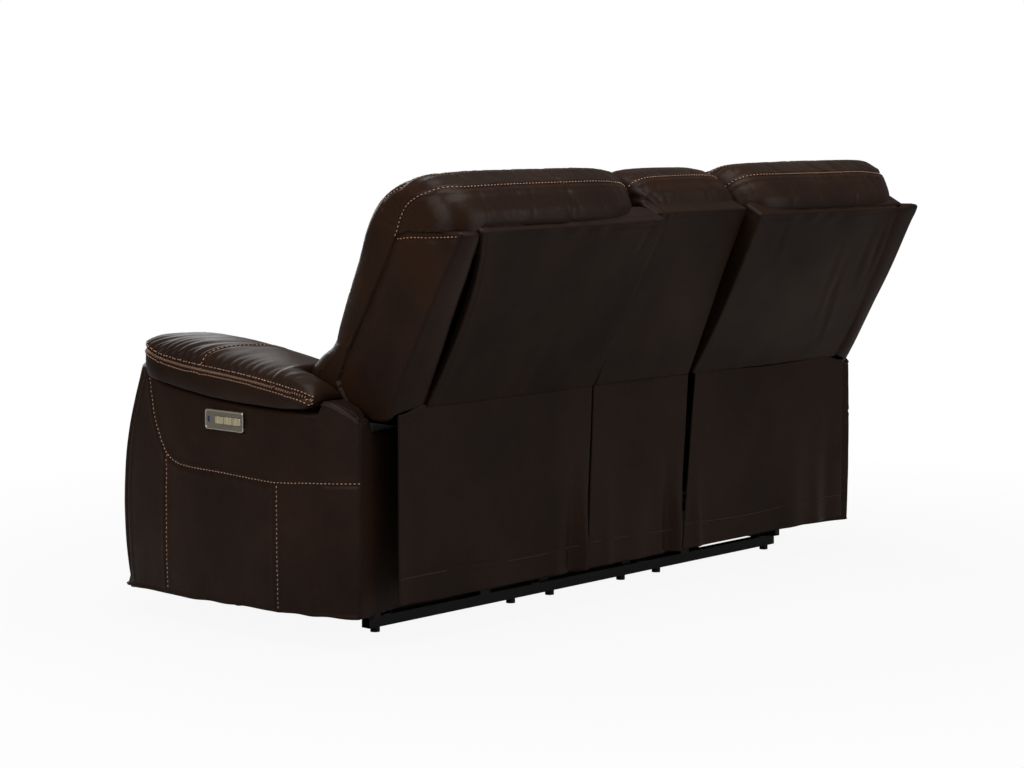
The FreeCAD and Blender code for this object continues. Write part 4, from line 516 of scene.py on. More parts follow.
# Arm pads: stuffed pads on the arms. A straight band hangs over the outer panel, a baseball seam in thick
# copper thread runs along it between two rows of top stitches, and the top panel is gathered into pleats.
pad_top = np.array([(-790, 622), (-770, 638), (-726, 651), (-651, 659), (-579, 660), (-508, 657), (-437, 649),
                    (-368, 640), (-301, 628), (-234, 616), (-168, 603), (-120, 586), (-94, 566)])
pad_seam = np.array([(-785, 610), (-770, 620), (-740, 630), (-700, 631), (-647, 624), (-589, 611), (-518, 601),
                     (-447, 595), (-365, 589), (-270, 580), (-177, 568), (-94, 553)])
pad_hem = np.array([(-790, 588), (-656, 567), (-531, 548), (-418, 534), (-322, 529), (-188, 526), (-120, 531),
                    (-94, 545)])
pad_nose = through([(975.5, -560), (975.5, -610), (966, -647), (948, -675), (925, -700), (893, -728),
                    (860, -750), (820, -768), (780, -777)], 90)[::-1]


def pad_outer(aft):
    """The pad's outer edge in plan: straight, then swept back round the nose."""
    return np.interp(aft, pad_nose[:, 1], pad_nose[:, 0]) - 10 * ramp_up(aft, -150, -94) ** 2


def pad_rows():
    """Rings square to the arm: an upright band, a top that swells as a root of the sine, and a flat
    underside. The inner edge steps in beside the back's wing, and each ring shrinks towards the nose and the
    tail."""
    stations = np.r_[np.linspace(-96, -110, 6), np.linspace(-114, -730, 150),
                     -730 - 46 * np.sin(np.linspace(0.05, 1.53, 34))]
    band, top, under = np.linspace(0, 1, 16, endpoint=False), np.linspace(0, np.pi, 92, endpoint=False), 34
    rows = []
    for aft in stations:
        crest, seam, hem = (np.interp(aft, line[:, 0], line[:, 1]) for line in (pad_top, pad_seam, pad_hem))
        inner = float(np.interp(aft, (-777, -773, -755, -720), (778, 765, 745, 738))
                      + 138 * ramp_up(aft, -228, -208))
        outer = float(pad_outer(aft))
        middle, half = (inner + outer) / 2, (outer - inner) / 2
        ring = np.vstack([
            np.column_stack([outer - 4 + 5 * np.sin(np.pi * band) ** 0.7, hem + band * (seam - hem)]),
            np.column_stack([middle + (half - 3) * np.sign(np.cos(top)) * np.abs(np.cos(top)) ** 0.85,
                             seam + (crest - seam) * np.sin(top) ** 0.72]),
            np.column_stack([inner + 4 - 5 * np.sin(np.pi * band) ** 0.7, seam - band * (seam - hem)]),
            np.column_stack([np.linspace(inner + 4, outer - 4, under, endpoint=False), np.full(under, hem)])])
        nose, tail = max(0.0, (-742 - aft) / 34.5), max(0.0, (aft + 108) / 13.0)
        shrink = math.sqrt(max(0.02, 1 - nose ** 2.4)) * math.sqrt(max(0.05, 1 - 0.8 * tail ** 2))
        centre = np.array([middle, hem + 0.45 * (crest - hem)])
        ring = centre + (ring - centre) * (1, shrink)
        rows.append(np.column_stack([ring[:, 0], np.full(len(ring), aft), ring[:, 1]]))
    return rows


pleat_spots = (-706, -684, -661, -640, -622, -600, -582, -560, -536, -513, -492, -468)
rear_pleats = (-425, -398, -372, -345, -322, -300, -276, -250, -228, -200, -176)
for word, side in SIDES:
    pad = skin(word + "_arm_pad_leather", pad_rows(), side)
    points = plan(pad, side)
    seam_afts = np.r_[-766, -758, -748, -736, -722, -708, -692, -676, -660, -640, -618, pad_seam[5:, 0]]
    seam_points = [(float(pad_outer(aft)) + 2, aft, float(np.interp(aft, *pad_seam.T))) for aft in seam_afts]
    seam = sewn_path(pad, seam_points, side, 3.0)
    cross = sewn_path(pad, [(973, -449, 598), (955, -444, 622), (925, -430, 642), (880, -412, 652),
                            (820, -400, 650), (765, -396, 620)], side, 3.0)
    random = np.random.default_rng(40 + side)
    gap, _ = near_line(points, seam)
    on_top = ramp_up(points[:, 2] - np.interp(points[:, 1], pad_seam[:, 0], pad_seam[:, 1]), -1, 4)
    away = gap * on_top + 400 * (1 - on_top)
    shape = 0.8 * ripples(points, 120, 31 + side)
    for spots, reach, depth, lean in ((pleat_spots, 95, 4.2, 0.62), (rear_pleats, 48, 2.3, 0.25)):
        for aft in spots:
            run = reach * random.uniform(0.6, 1.25)
            deep = depth * random.uniform(0.6, 1.2)
            bend = lean + random.uniform(-0.12, 0.12)
            across = points[:, 1] - aft - bend * away
            wide = 5.0 + 0.05 * away
            fade = np.exp(-(away / run) ** 2) * ramp_up(away, 1, 9)
            swollen, drawn = np.exp(-((across - 9) / (1.5 * wide)) ** 2), np.exp(-(across / wide) ** 2)
            shape += fade * deep * (0.55 * swollen - drawn)
    shape += groove(gap, 3.0, 3.2, 0.5)
    cross_gap, _ = near_line(points, cross)
    shape += groove(cross_gap, 2.6, 3.5, 0.5)
    relief(pad, shape)
    upholstered(pad, "root", 0.75, word + "_arm_pad")
    rows_beside = [seam + (0, 0, 10.0), seam + (0, 0, -9.5)]
    stitches(word + "_arm_pad_stitching", pad, "root", rows_beside, side, 9.6, 5.0, 1.1)
    stitches(word + "_arm_pad_baseball_seam", pad, "root", [seam], side, 7.3, 8.2, 1.2, slant=64)
    stitches(word + "_arm_pad_cross_stitching", pad, "root", [cross + (0, -4.5, 0)], side)


# Seat backs. Everything leans with the rear panels: "up" runs along the lean from the crease above the rear
# flaps, and "deep" runs square to it towards the sitter.
back_lean, console_lean = 28.5, 24
crease_aft, crease_height = 33, 537


def leaned(up, deep, lean=back_lean):
    """Aft and height of a place: up along the lean from the crease, and deep square to it."""
    tilt = math.radians(lean)
    return (crease_aft + up * math.sin(tilt) - deep * math.cos(tilt),
            crease_height + up * math.cos(tilt) + deep * math.sin(tilt))


def up_lean(points, lean=back_lean):
    """How far points lie up the lean."""
    tilt = math.radians(lean)
    return (points[:, 1] - crease_aft) * math.sin(tilt) + (points[:, 2] - crease_height) * math.cos(tilt)


# Side wings: padded outer sides of the backs, convex outwards, with a top-stitched upper edge. Each wraps
# round the rear corner and ends in a hem beside the rear panel.
wing_tops = {1: ((48, 910), (84, 924), 446), -1: ((48, 916), (84, 932), 455)}
wing_outlines = {
    side: softened([(-130, 588), (-98, 650), (36, 880), front, top, leaned(corner, -8.5), leaned(200, -8.5),
                    leaned(4, -8.5), (24, 504), (-48, 504), (-106, 544)], 22, 300)
    for side, (front, top, corner) in wing_tops.items()}
wing_hem = {1: ((540, 752), (640, 766), (718, 774), (818, 781), (925, 792)),
            -1: ((540, 800), (600, 809), (690, 797), (766, 788), (925, 772))}


def swell(spot):
    """How far the wing's face stands out, from 0 to 1: a round mound along the lean."""
    along = (spot[:, 0] - 70) * 0.45 + (spot[:, 1] - 725) * 0.89
    across = (spot[:, 0] - 70) * 0.89 - (spot[:, 1] - 725) * 0.45
    return np.exp(-(along / 190) ** 4 - (across / 80) ** 4)


def wing_rows(side):
    """Rings from the middle of the outer face to its edge, round that edge, across the wrapped side to the
    hem and back to the middle inside. The face bulges as a smooth mound, and the turn is wider on the rear
    side."""
    hem, wing_outline = np.array(wing_hem[side], float), wing_outlines[side]
    lean_line = np.interp(wing_outline[:, 1], [leaned(0, -8.5)[1], leaned(430, -8.5)[1]],
                          [leaned(0, -8.5)[0], leaned(430, -8.5)[0]])
    behind = ramp_up(wing_outline[:, 0] - lean_line, -10, -2) * ramp_up(wing_outline[:, 1], 512, 532)
    keep = np.exp(-2 * (np.pi * np.fft.fftfreq(len(behind)) * 5) ** 2)
    turned = np.clip(np.real(np.fft.ifft(np.fft.fft(behind) * keep)), 0, 1)
    hem_x = np.interp(wing_outline[:, 1], hem[:, 0], hem[:, 1])
    inner_x = 839 + (hem_x - 839) * behind
    radius = 7 + 2 * turned
    middle = np.array([[62.0, 720.0]])
    face_ring = softened(drawn_in(wing_outline, radius), 18, 300)
    rows = []
    for share in np.linspace(0.03, 1, 40):
        spot = middle + (face_ring - middle) * share
        rows.append(np.column_stack([856 + 14 * swell(spot), spot]))
    edge_x = rows[-1][:, 0]
    for turn in np.radians([18, 36, 54, 72, 90]):
        spot = drawn_in(wing_outline, radius * (1 - math.sin(turn)))
        rows.append(np.column_stack([edge_x - radius * (1 - math.cos(turn)), spot]))
    start_x = edge_x - radius
    for share in np.linspace(0.08, 1, 12):
        spot = drawn_in(wing_outline, 5 * share ** 4 - 2.5 * turned * math.sin(math.pi * share))
        rows.append(np.column_stack([start_x + (inner_x - start_x) * share, spot]))
    last = drawn_in(wing_outline, 5)
    rows.append(np.column_stack([inner_x + 1.5 * behind, drawn_in(wing_outline, 9)]))
    for share in (0.7, 0.4, 0.1):
        spot = middle + (last - middle) * share
        rows.append(np.column_stack([np.maximum(inner_x, 839.0 - 8 * share * behind), spot]))
    return rows


for word, side in SIDES:
    wing = skin(word + "_back_wing_leather", wing_rows(side), side)
    points = plan(wing, side)
    shape = 1.3 * ripples(points, 240, 51 + side) + 0.3 * ripples(points, 70, 61 + side)
    top_seam = sewn_path(wing, [(858, 62, 900), (861, 110, 904), (861, 170, 906), (858, 232, 910)], side)
    gap, along = near_line(points, top_seam)
    shape += groove(gap, 1.6, 3.2) + 1.2 * np.exp(-(gap / 16) ** 2) * np.sin(along / 11.0)
    relief(wing, shape)
    upholstered(wing, word + "_back", 0.8, word + "_back_wing")
    stitches(word + "_back_wing_stitching", wing, word + "_back", [top_seam + (0, 0, 4.5)], side)


# Back cushions: one cover over the lumbar roll, the back and the headrest, which tilts at the neck. A boxing
# strip between two rows of copper stitches runs up the outer side, over the top and down the inner side.
back_outline = softened([
    leaned(-28, 54), (-112, 512), (-210, 508), (-246, 534), (-258, 572), (-244, 608), (-220, 635),
    (-193, 650), (-182, 667), (-174, 700), (-147, 762), (-117, 820), (-94, 862), (-71, 905), (-50, 940),
    (-26, 974), (6, 1008), (50, 1034), (98, 1046), (144, 1046), (190, 1027), (222, 998), (241, 964),
    (244, 936), (234, 922), leaned(385, 54)], 9, 380)
end_pull = {(1, True): (0.3, 16), (1, False): (0.6, 5), (-1, True): (0.66, 5), (-1, False): (0.35, 8)}
back_low, back_high = 180.0, 864.0


def cushion_rows(ring, middle, low, high, edge, turns, stations, low_shares, high_shares):
    """Rings across a cushion between two ends: a flat end from its middle outwards, a quarter turn at the
    edge, the rings between, and the same again in reverse. The ring at a place is a function of x."""
    def flat_end(x, shares):
        return [(x, middle + (drawn_in(ring(x), edge) - middle) * share) for share in shares]

    def turned_edge(x, inward, angles):
        places = [(x + inward * edge * (1 - math.cos(turn)), edge * (1 - math.sin(turn))) for turn in angles]
        return [(place, drawn_in(ring(place), inset)) for place, inset in places]
    angles = np.radians(np.linspace(0, 90, turns))
    between = [(x, ring(x)) for x in np.linspace(low + edge, high - edge, stations)[1:-1]]
    rows = [*flat_end(low, low_shares), *turned_edge(low, 1, angles), *between,
            *turned_edge(high, -1, angles[::-1]), *flat_end(high, high_shares)]
    return [np.column_stack([np.full(len(spots), x), spots]) for x, spots in rows]


def back_rows(side):
    """Rings across the back. Towards both ends the top falls and the front draws in, and the rear bulge
    rounds away by its own share. At the outer end its underside drops to the wing."""
    share_up = ramp_up(back_outline[:, 1], 900, 1030)
    share_front = ramp_up(-back_outline[:, 0], -20, 120) * ramp_up(back_outline[:, 1], 560, 700)
    front_low = ramp_up(-back_outline[:, 0], 60, 200)
    rear = ramp_up(back_outline[:, 0], 60, 130) * ramp_up(back_outline[:, 1], 893, 925)
    low_rear = ramp_up(back_outline[:, 0], 150, 200) * ramp_up(-back_outline[:, 1], -985, -940)

    def ring(x):
        ends = abs(2 * (x - back_low) / (back_high - back_low) - 1)
        outer = float(x > 500)
        fall = 0.45 * ends ** 6 + 0.55 * ends ** 18
        moved = back_outline.copy()
        moved[:, 1] -= 34 * fall * share_up + 22 * outer * ramp_up(x, 770, 825) * low_rear
        moved[:, 0] += (54 * fall - 6 * (1 - ends ** 2)) * share_front + 34 * fall * front_low
        most, sharpness = end_pull[side, x > 500]
        pull = most * ends ** sharpness
        moved[:, 0] -= np.maximum(moved[:, 0] - 62, 0) * pull * rear
        return moved
    return cushion_rows(ring, np.array([[-10.0, 760.0]]), back_low, back_high, 17.0, 7, 130,
                        np.linspace(0.05, 0.97, 14), np.linspace(0.97, 0.03, 46))


def inside_outline(spots, outline):
    """Which flat points lie inside a closed outline, by counting crossings."""
    inside = np.zeros(len(spots), bool)
    for (ax, ay), (bx, by) in zip(outline, np.roll(outline, -1, axis=0)):
        crossing = (ay > spots[:, 1]) != (by > spots[:, 1])
        inside ^= crossing & (spots[:, 0] < (bx - ax) * (spots[:, 1] - ay) / (by - ay + 1e-9) + ax)
    return inside


def creases(random, count, gap, along, depths, widths, leans, reach, clear):
    """How deep creases that run out from a seam are. For each in turn a place along the seam, a depth, a width
    and a lean are drawn, and all fade over the reach and start clear of the stitches."""
    beside = np.exp(-(gap / reach) ** 2) * ramp_up(gap, 2, clear)
    total = np.zeros(len(gap))
    for _ in range(count):
        at, deep, wide = random.uniform(0, along.max()), random.uniform(*depths), random.uniform(*widths)
        across = along - at - random.uniform(*leans) * gap
        total += beside * deep * np.exp(-(across / wide) ** 2)
    return total


rear_ends = {1: ((864, 62, 906), (864, 78, 946), (863, 96, 973), (859, 124, 991), (846, 160, 1003),
                 (808, 192, 1011)),
             -1: ((864, 52, 906), (863, 66, 940), (860, 84, 968), (848, 112, 990), (828, 138, 1003),
                  (800, 166, 1010))}
front_edge = np.array([(-190, 676), (-172, 735), (-140, 795), (-104, 852), (-74, 905), (-46, 952), (-20, 982),
                       (14, 1004)]) + (13, -4)
neck_low, neck_high = placed(0, -24.6, 850).tolist(), placed(0, -24.6, 934).tolist()
for word, side in SIDES:
    back = skin(word + "_back_leather", back_rows(side), side)
    points = plan(back, side)
    behind_wing = inside_outline(points[:, 1:], drawn_in(wing_outlines[side], 5)) & (points[:, 0] > 825)
    points[behind_wing, 0] = 825 + 0.25 * (points[behind_wing, 0] - 825)
    move_to(back.data, placed(*(points * (side, 1, 1)).T))
    outer_front, inner_front = ([(x, aft, height) for aft, height in front_edge] for x in (862, 182))
    front_seam = sewn_path(back, outer_front + [
        (852, 70, 1016), (820, 98, 1036), (760, 110, 1048), (640, 112, 1052), (520, 112, 1052),
        (400, 112, 1052), (290, 108, 1048), (225, 96, 1036), (194, 72, 1012)] + inner_front[::-1], side, 3.5)
    rear_seam = sewn_path(back, [
        *rear_ends[side], (760, 200, 1014), (640, 203, 1018), (520, 203, 1018), (400, 202, 1018),
        (310, 196, 1014), (250, 178, 1006), (208, 150, 992), (186, 128, 970), (183, 122, 936)], side, 3.5)
    corner_cut = sewn_path(back, [(858, 36, 1002), (862, 62, 982), (862, 84, 962)], side, 3.0)
    points = plan(back, side)
    shape = 1.2 * ripples(points, 190, 71 + side) + 0.35 * ripples(points, 55, 81 + side)
    gap_front, along_front = near_line(points, front_seam)
    gap_rear, along_rear = near_line(points, rear_seam)
    gap_cut, _ = near_line(points, corner_cut)
    shape += groove(gap_front, 2.4, 3.6, 0.6) + groove(gap_rear, 2.6, 3.6, 0.6)
    shape += groove(gap_cut, 2.2, 2.6, 0.4)
    random = np.random.default_rng(90 + side)
    shape -= creases(random, 34, gap_rear, along_rear, (0.8, 2.4), (4, 8), (-0.4, 0.7), 62, 14)
    shape -= creases(random, 26, gap_front, along_front, (0.8, 2.2), (5, 9), (-0.3, 0.5), 75, 12)
    neck = np.exp(-((points[:, 2] - 885 - 0.05 * points[:, 1]) / 9) ** 2) * ramp_up(-points[:, 1], -5, 60)
    shape -= 3.5 * neck * ramp_up(850 - points[:, 0], 0, 40) * ramp_up(points[:, 0], 195, 235)
    relief(back, shape)
    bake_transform(back)
    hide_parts(word + "_back_cushion", word + "_headrest_cushion")
    seams = [front_seam + (0, 3, 3), rear_seam + (0, -3, 3)]
    thread = stitches(word + "_back_stitching", back, None, seams, side)
    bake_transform(thread)


# Rear panels: leather drawn over the backs' timber frames, with a turned hem along the outer edge and a
# folded band along the top, and returned round the inner side.
def lean_place(x, up, deep, lean):
    """Plan points across, up the lean and square to it."""
    aft, height = leaned(up, deep, lean)
    return np.stack(np.broadcast_arrays(x, aft, height), axis=-1)


def panel_rows(outline, lean, return_depth):
    """Rings of a shallow tray: the rear face from its middle to the edge, a rounded edge, the returned sides,
    and back along the inside."""
    middle = outline.mean(axis=0, keepdims=True)
    rows = []
    for share in np.linspace(0.03, 1, 42):
        spot = middle + (drawn_in(outline, 4) - middle) * share
        rows.append(lean_place(spot[:, 0], spot[:, 1], -8.0, lean))
    for turn in np.radians([25, 50, 75, 90]):
        spot = drawn_in(outline, 4 * (1 - math.sin(turn)))
        rows.append(lean_place(spot[:, 0], spot[:, 1], -4 - 4 * math.cos(turn), lean))
    for share in np.linspace(0.1, 1, 7):
        rows.append(lean_place(outline[:, 0], outline[:, 1], -4 + share * (return_depth + 4), lean))
    inner = drawn_in(outline, 3)
    for share in np.linspace(1, 0, 5):
        rows.append(lean_place(inner[:, 0], inner[:, 1], share * return_depth, lean))
    for share in (0.8, 0.4, 0.05):
        spot = middle + (inner - middle) * share
        rows.append(lean_place(spot[:, 0], spot[:, 1], 0.0, lean))
    return rows


panel_edge = {1: ((747, -8), (744, 60), (743, 130), (744, 200), (752, 290), (770, 375), (798, 445)),
              -1: ((797, -8), (802, 60), (800, 140), (792, 220), (784, 300), (774, 375), (768, 446))}
panel_inner = {1: ((180, 450), (181, 230), (181, -8)),
               -1: ((179, 450), (183, 380), (191, 280), (197, 170), (197, 90), (192, -8))}
panel_folds = {1: ((230, 400, 50, 10, 1.2), (700, 60, 60, 14, 1.0), (420, 60, 80, 18, 0.8)),
               -1: ((748, 330, 62, 9, 2.6), (700, 300, 70, 14, 1.8), (640, 190, 90, 12, 2.0),
                    (668, 120, 70, 10, 1.6), (590, 250, 100, 16, 1.2), (300, 380, 60, 14, 1.2))}
for word, side in SIDES:
    outline = softened(np.vstack([through(panel_edge[side], 60), through(panel_inner[side], 40)]), 11, 420)
    inward = ramp_up(-outline[:, 0], -230, -212) if side < 0 else ramp_up(-outline[:, 0], -196, -184)
    deep_sides = np.maximum(inward, ramp_up(outline[:, 1], 430, 440))
    rows = panel_rows(outline, back_lean, 3 + 42 * deep_sides)
    panel = skin(word + "_back_panel_leather", rows, side, panel_hide)
    points = plan(panel, side)
    up_now = up_lean(points)
    edge_now = np.interp(up_now, np.array(panel_edge[side])[:, 1], np.array(panel_edge[side])[:, 0])
    tilt = math.radians(back_lean)
    rear_face = ramp_up((points[:, 1] - crease_aft) * math.cos(tilt)
                        - (points[:, 2] - crease_height) * math.sin(tilt), 5.5, 7.5)
    shape = 0.9 * ripples(points, 260, 101 + side) + 0.25 * ripples(points, 80, 111 + side)
    shape += 2.2 * rear_face * np.sin(np.pi * np.clip(up_now / 446, 0, 1)) ** 0.6
    shape += groove(np.abs(points[:, 0] - edge_now + 12), 1.6, 2.6, 0.5)
    shape += groove(np.abs(up_now - 436 + 0.8 * np.sin(points[:, 0] / 40)), 1.3, 2.4, 0.5)
    pucker = np.sin(points[:, 0] / 19 + 2 * np.sin(points[:, 0] / 71))
    shape += 1.4 * np.exp(-((up_now - 434) / 16) ** 2) * pucker
    for x, up, long, wide, deep in panel_folds[side]:
        across = points[:, 0] - x + 0.16 * (up_now - up)
        shape -= deep * np.exp(-(across / wide) ** 2 - ((up_now - up) / long) ** 2)
        shape += 0.6 * deep * np.exp(-((across - 1.8 * wide) / wide) ** 2 - ((up_now - up) / long) ** 2)
    relief(panel, shape)
    upholstered(panel, word + "_back", 1.0, word + "_back_panel")


# Frame wraps: the leather that is folded over the top rail of each back's frame, from the console side to the
# wing, and tacked to it.
wrap_ring = softened([(404, 5), (449, 5), (451, 11), (451, 48), (449, 55), (404, 55)], 5, 60)
wrap_rows = []
for x in (196, 198, *np.linspace(204, 790, 70), 797, 799):
    ring = drawn_in(wrap_ring, 5 * (abs(x - 497.5) / 301.5) ** 60)
    wrap_rows.append(lean_place(x, ring[:, 0], ring[:, 1], back_lean))
for word, side in SIDES:
    wrap = skin(word + "_frame_wrap_leather", wrap_rows, side)
    relief(wrap, 0.8 * ripples(plan(wrap, side), 60, 181 + side))
    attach(wrap, word + "_back")


# Console back: a narrow fixed back with the same boxing strip and rows of stitches. Its rear panel leans at
# 24 degrees, less than the seats' backs.
console_outline = softened([
    (-104, 543), (-190, 543), (-186, 640), (-166, 780), (-112, 890), (-62, 958), (-30, 994), (12, 1022),
    (70, 1040), (112, 1035), (150, 1018), (178, 990), (188, 950), (180, 925),
    leaned(418, 54, console_lean), leaned(60, 54, console_lean)], 9, 330)


def console_rows():
    """Rings across the console's back. Towards both ends the top falls and the front draws in."""
    half = 171.0
    share_up = ramp_up(console_outline[:, 1], 900, 1020)
    share_front = ramp_up(-console_outline[:, 0], -20, 120)

    def ring(x):
        ends = abs(x / half)
        fall = 0.5 * ends ** 5 + 0.5 * ends ** 14
        moved = console_outline.copy()
        moved[:, 1] -= 27 * fall * share_up
        moved[:, 0] += 26 * fall * share_front
        return moved
    shares = np.linspace(0.03, 0.97, 22)
    return cushion_rows(ring, np.array([[-30.0, 780.0]]), -half, half, 14.0, 6, 68, shares, shares[::-1])


console_back = skin("console_back_leather", console_rows())
front_half = [(170, -170, 650), (170, -140, 760), (170, -96, 862), (170, -50, 928), (170, -10, 966),
              (170, 20, 986), (160, 40, 1014), (120, 44, 1036), (60, 46, 1044)]
rear_half = [(170, 92, 905), (170, 110, 950), (165, 128, 988), (145, 142, 1008), (110, 146, 1018),
             (50, 147, 1022)]


def both_halves(half, middle=()):
    """A line from the left end over the middle to the right end, which mirrors it."""
    return [*half, *middle, *((-x, aft, height) for x, aft, height in half[::-1])]


console_front_seam = sewn_path(console_back, both_halves(front_half, [(0, 46, 1044)]), 1, 3.5)
console_rear_seam = sewn_path(console_back, both_halves(rear_half), 1, 3.5)
points = plan(console_back)
gap_front, _ = near_line(points, console_front_seam)
gap_rear, along_rear = near_line(points, console_rear_seam)
shape = 1.0 * ripples(points, 150, 121) + groove(gap_front, 2.4, 3.6, 0.6) + groove(gap_rear, 2.6, 3.6, 0.6)
random = np.random.default_rng(122)
shape -= creases(random, 16, gap_rear, along_rear, (0.8, 2.2), (4, 7), (-0.5, 0.5), 60, 12)
for x, height, wide, deep in ((150, 962, 7, 4.5), (140, 985, 6, 3.5), (160, 940, 7, 4.5)):
    across = (points[:, 2] - height) - 0.7 * (points[:, 0] - x)
    corner = ramp_up(points[:, 0], 95, 150) * ramp_up(points[:, 1], 130, 160)
    shape -= deep * np.exp(-(across / wide) ** 2) * corner
relief(console_back, shape)
upholstered(console_back, "root", 0.85, "console_back_cushion")
stitches("console_back_stitching", console_back, "root", [console_front_seam + (0, 3, 3),
                                                          console_rear_seam + (0, -3, 3)])

console_edge = softened(np.vstack([
    through([(178, -6), (177, 220), (174, 448)], 30),
    through([(-168, 448), (-167, 300), (-173, 160), (-177, 60), (-177, -6)], 40)]), 11, 300)
deep_sides = np.maximum(ramp_up(console_edge[:, 1], 430, 440), ramp_up(-console_edge[:, 0], 150, 160))
rows = panel_rows(console_edge, console_lean, 3 + 42 * deep_sides)
console_panel = skin("console_back_panel_leather", rows, 1, panel_hide)
points = plan(console_panel)
up_now = up_lean(points, console_lean)
shape = 0.8 * ripples(points, 220, 131) + groove(np.abs(up_now - 437), 1.3, 2.4, 0.5)
gathered = np.exp(-((up_now - 438) / 14) ** 2 - ((points[:, 0] - 160) / 34) ** 2)
shape += 2.6 * gathered * np.sin(points[:, 0] / 4.6)
relief(console_panel, shape)
upholstered(console_panel, "root", 1.0, "console_back_panel")


# Rear flaps: single sheets of leather that hang from the crease to a deep stitched hem, loose at the sides,
# with a few soft folds that open towards the hem.
def hung_flap(node_name, body, side, low, high, shear, folds, chamfer, sag, seed):
    """A grid across and down, pushed fore and aft by the folds, which grow with the drop. The low and high
    edges lean by the two shears, and the top edge sags between its ends. A fold is its place, its lean, its
    width, its depth and where down the drop it starts."""
    name = node_name + "_leather"
    across, down = int((high - low) / 5), 92
    u, v = np.meshgrid(np.linspace(0, 1, across), np.linspace(0, 1, down))
    left = low + shear[0] * v
    x = left + (high + shear[1] * v - left) * u
    top = crease_height - chamfer * ramp_up(x, high - 85, high - 4) - sag * np.sin(np.pi * u)
    z = top + (flap_end - top) * v
    fall = (crease_height - z) / flap_drop
    aft = 35.5 + 3.0 * fall
    for at, lean, wide, deep, start in folds:
        aft = aft + deep * ramp_up(fall, start, 1.0) * np.exp(-((x - at - lean * fall) / wide) ** 2)
    points = placed(x * side, aft, z).reshape(-1, 3)
    waves = ripples(np.stack([x, aft, z], axis=-1).reshape(-1, 3), 170, seed) * fall.ravel()
    hem_line = np.abs(z.ravel() - hem_height - 3 * np.sin(x.ravel() / 90))
    points[:, 1] += (1.6 * waves + groove(hem_line, 1.2, 2.6, 0.4)) * mm
    index = np.arange(across * down).reshape(down, across)
    faces = np.stack([index[:-1, :-1], index[1:, :-1], index[1:, 1:], index[:-1, 1:]], axis=-1).reshape(-1, 4)
    if side > 0:
        faces = faces[:, ::-1]
    mesh = bpy.data.meshes.new(name)
    mesh.from_pydata(points.tolist(), [], faces.tolist())
    mesh.shade_smooth()
    mesh.materials.append(panel_hide)
    flap = added(name, mesh)
    thickness = flap.modifiers.new("leather_thickness", "SOLIDIFY")
    thickness.thickness = 2.2 * mm
    thickness.offset = -1.0
    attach(flap, body)
    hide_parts(node_name)
    hem_across = np.linspace(low + 0.86 * shear[0] + 5, high + 0.86 * shear[1] - 5, 120)
    hem = np.column_stack([hem_across, np.full(120, 38.0), hem_height + 3 * np.sin(hem_across / 90) - 5])
    hem_thread = stitches(name + "_hem_stitching", flap, body, [hem], side, 6.5, 4.4, 0.75)
    hem_thread.data.materials[0] = brown_thread


brown_thread, tree = empty_material("brown_bonded_thread")
dull = node(tree, "TexNoise", {"Vector": node(tree, "TexCoord").outputs["Object"], "Scale": 1 / 0.003})
dull_ramp = node(tree, "ValToRGB", {"Fac": dull.outputs["Fac"]})
dull_ramp.color_ramp.elements[0].color = linear("3a2820")
dull_ramp.color_ramp.elements[1].color = linear("5a4336")
dull_surface = node(tree, "BsdfPrincipled", {"Base Color": dull_ramp.outputs[0], "Roughness": 0.6})
node(tree, "OutputMaterial", {"Surface": dull_surface.outputs[0]})

flap_end, hem_height, flap_drop = 95, 158.0, 442.0
left_folds = ((214, 6, 13, 15, 0.35), (250, 10, 15, -10, 0.3), (300, 14, 22, 7, 0.25), (560, -20, 60, 4, 0.2),
              (790, 5, 30, -5, 0.1))
right_folds = ((210, 4, 16, 8, 0.4), (640, -30, 40, 6, 0.2), (760, 14, 26, -7, 0.2), (700, 20, 20, 5, 0.5))
console_folds = ((-140, 8, 16, 14, 0.3), (-96, -6, 16, -10, 0.35), (20, 0, 40, 5, 0.2), (130, 0, 20, 4, 0.3))
hung_flap("left_rear_flap", "left_flap", 1, 184, 834, (27, 0), left_folds, 18, 5, 141)
hung_flap("right_rear_flap", "right_flap", -1, 208, 834, (-52, 0), right_folds, 20, 12, 142)
hung_flap("console_rear_flap", "root", 1, -179, 179, (36, 24), console_folds, 0, 3, 143)


# Seats: a thick foam cushion in a leather cover, sewn from a top in three panels and a boxing strip that
# rolls over the front rail. Its filling is blown up by a short cloth simulation, and the seams are drawn in
# afterwards.
def pillow_rows(outline, thick, crown, edge):
    """Rings of a pillow on a flat outline: a flat base, sides that round over a quarter turn below and above,
    and a top that rises towards the middle, as one less the share of the way out to the power 2.4."""
    middle = outline.mean(axis=0, keepdims=True)
    core = drawn_in(outline, edge)
    rows = [(middle + (core - middle) * share, 0.0) for share in np.linspace(0.03, 1, 40)]
    for turn in np.radians([20, 40, 60, 80]):
        rows.append((drawn_in(outline, edge * (1 - math.sin(turn))), edge * (1 - math.cos(turn))))
    for share in np.linspace(0, 1, 6):
        rows.append((outline, edge + share * (thick - 2 * edge)))
    for turn in np.radians([80, 60, 40, 20]):
        rows.append((drawn_in(outline, edge * (1 - math.sin(turn))), thick - edge * (1 - math.cos(turn))))
    rows += [(middle + (core - middle) * share, thick + crown * (1 - share ** 2.4))
             for share in np.linspace(1, 0.03, 48)]
    return np.stack([np.column_stack([spots, np.full(len(spots), height)]) for spots, height in rows])


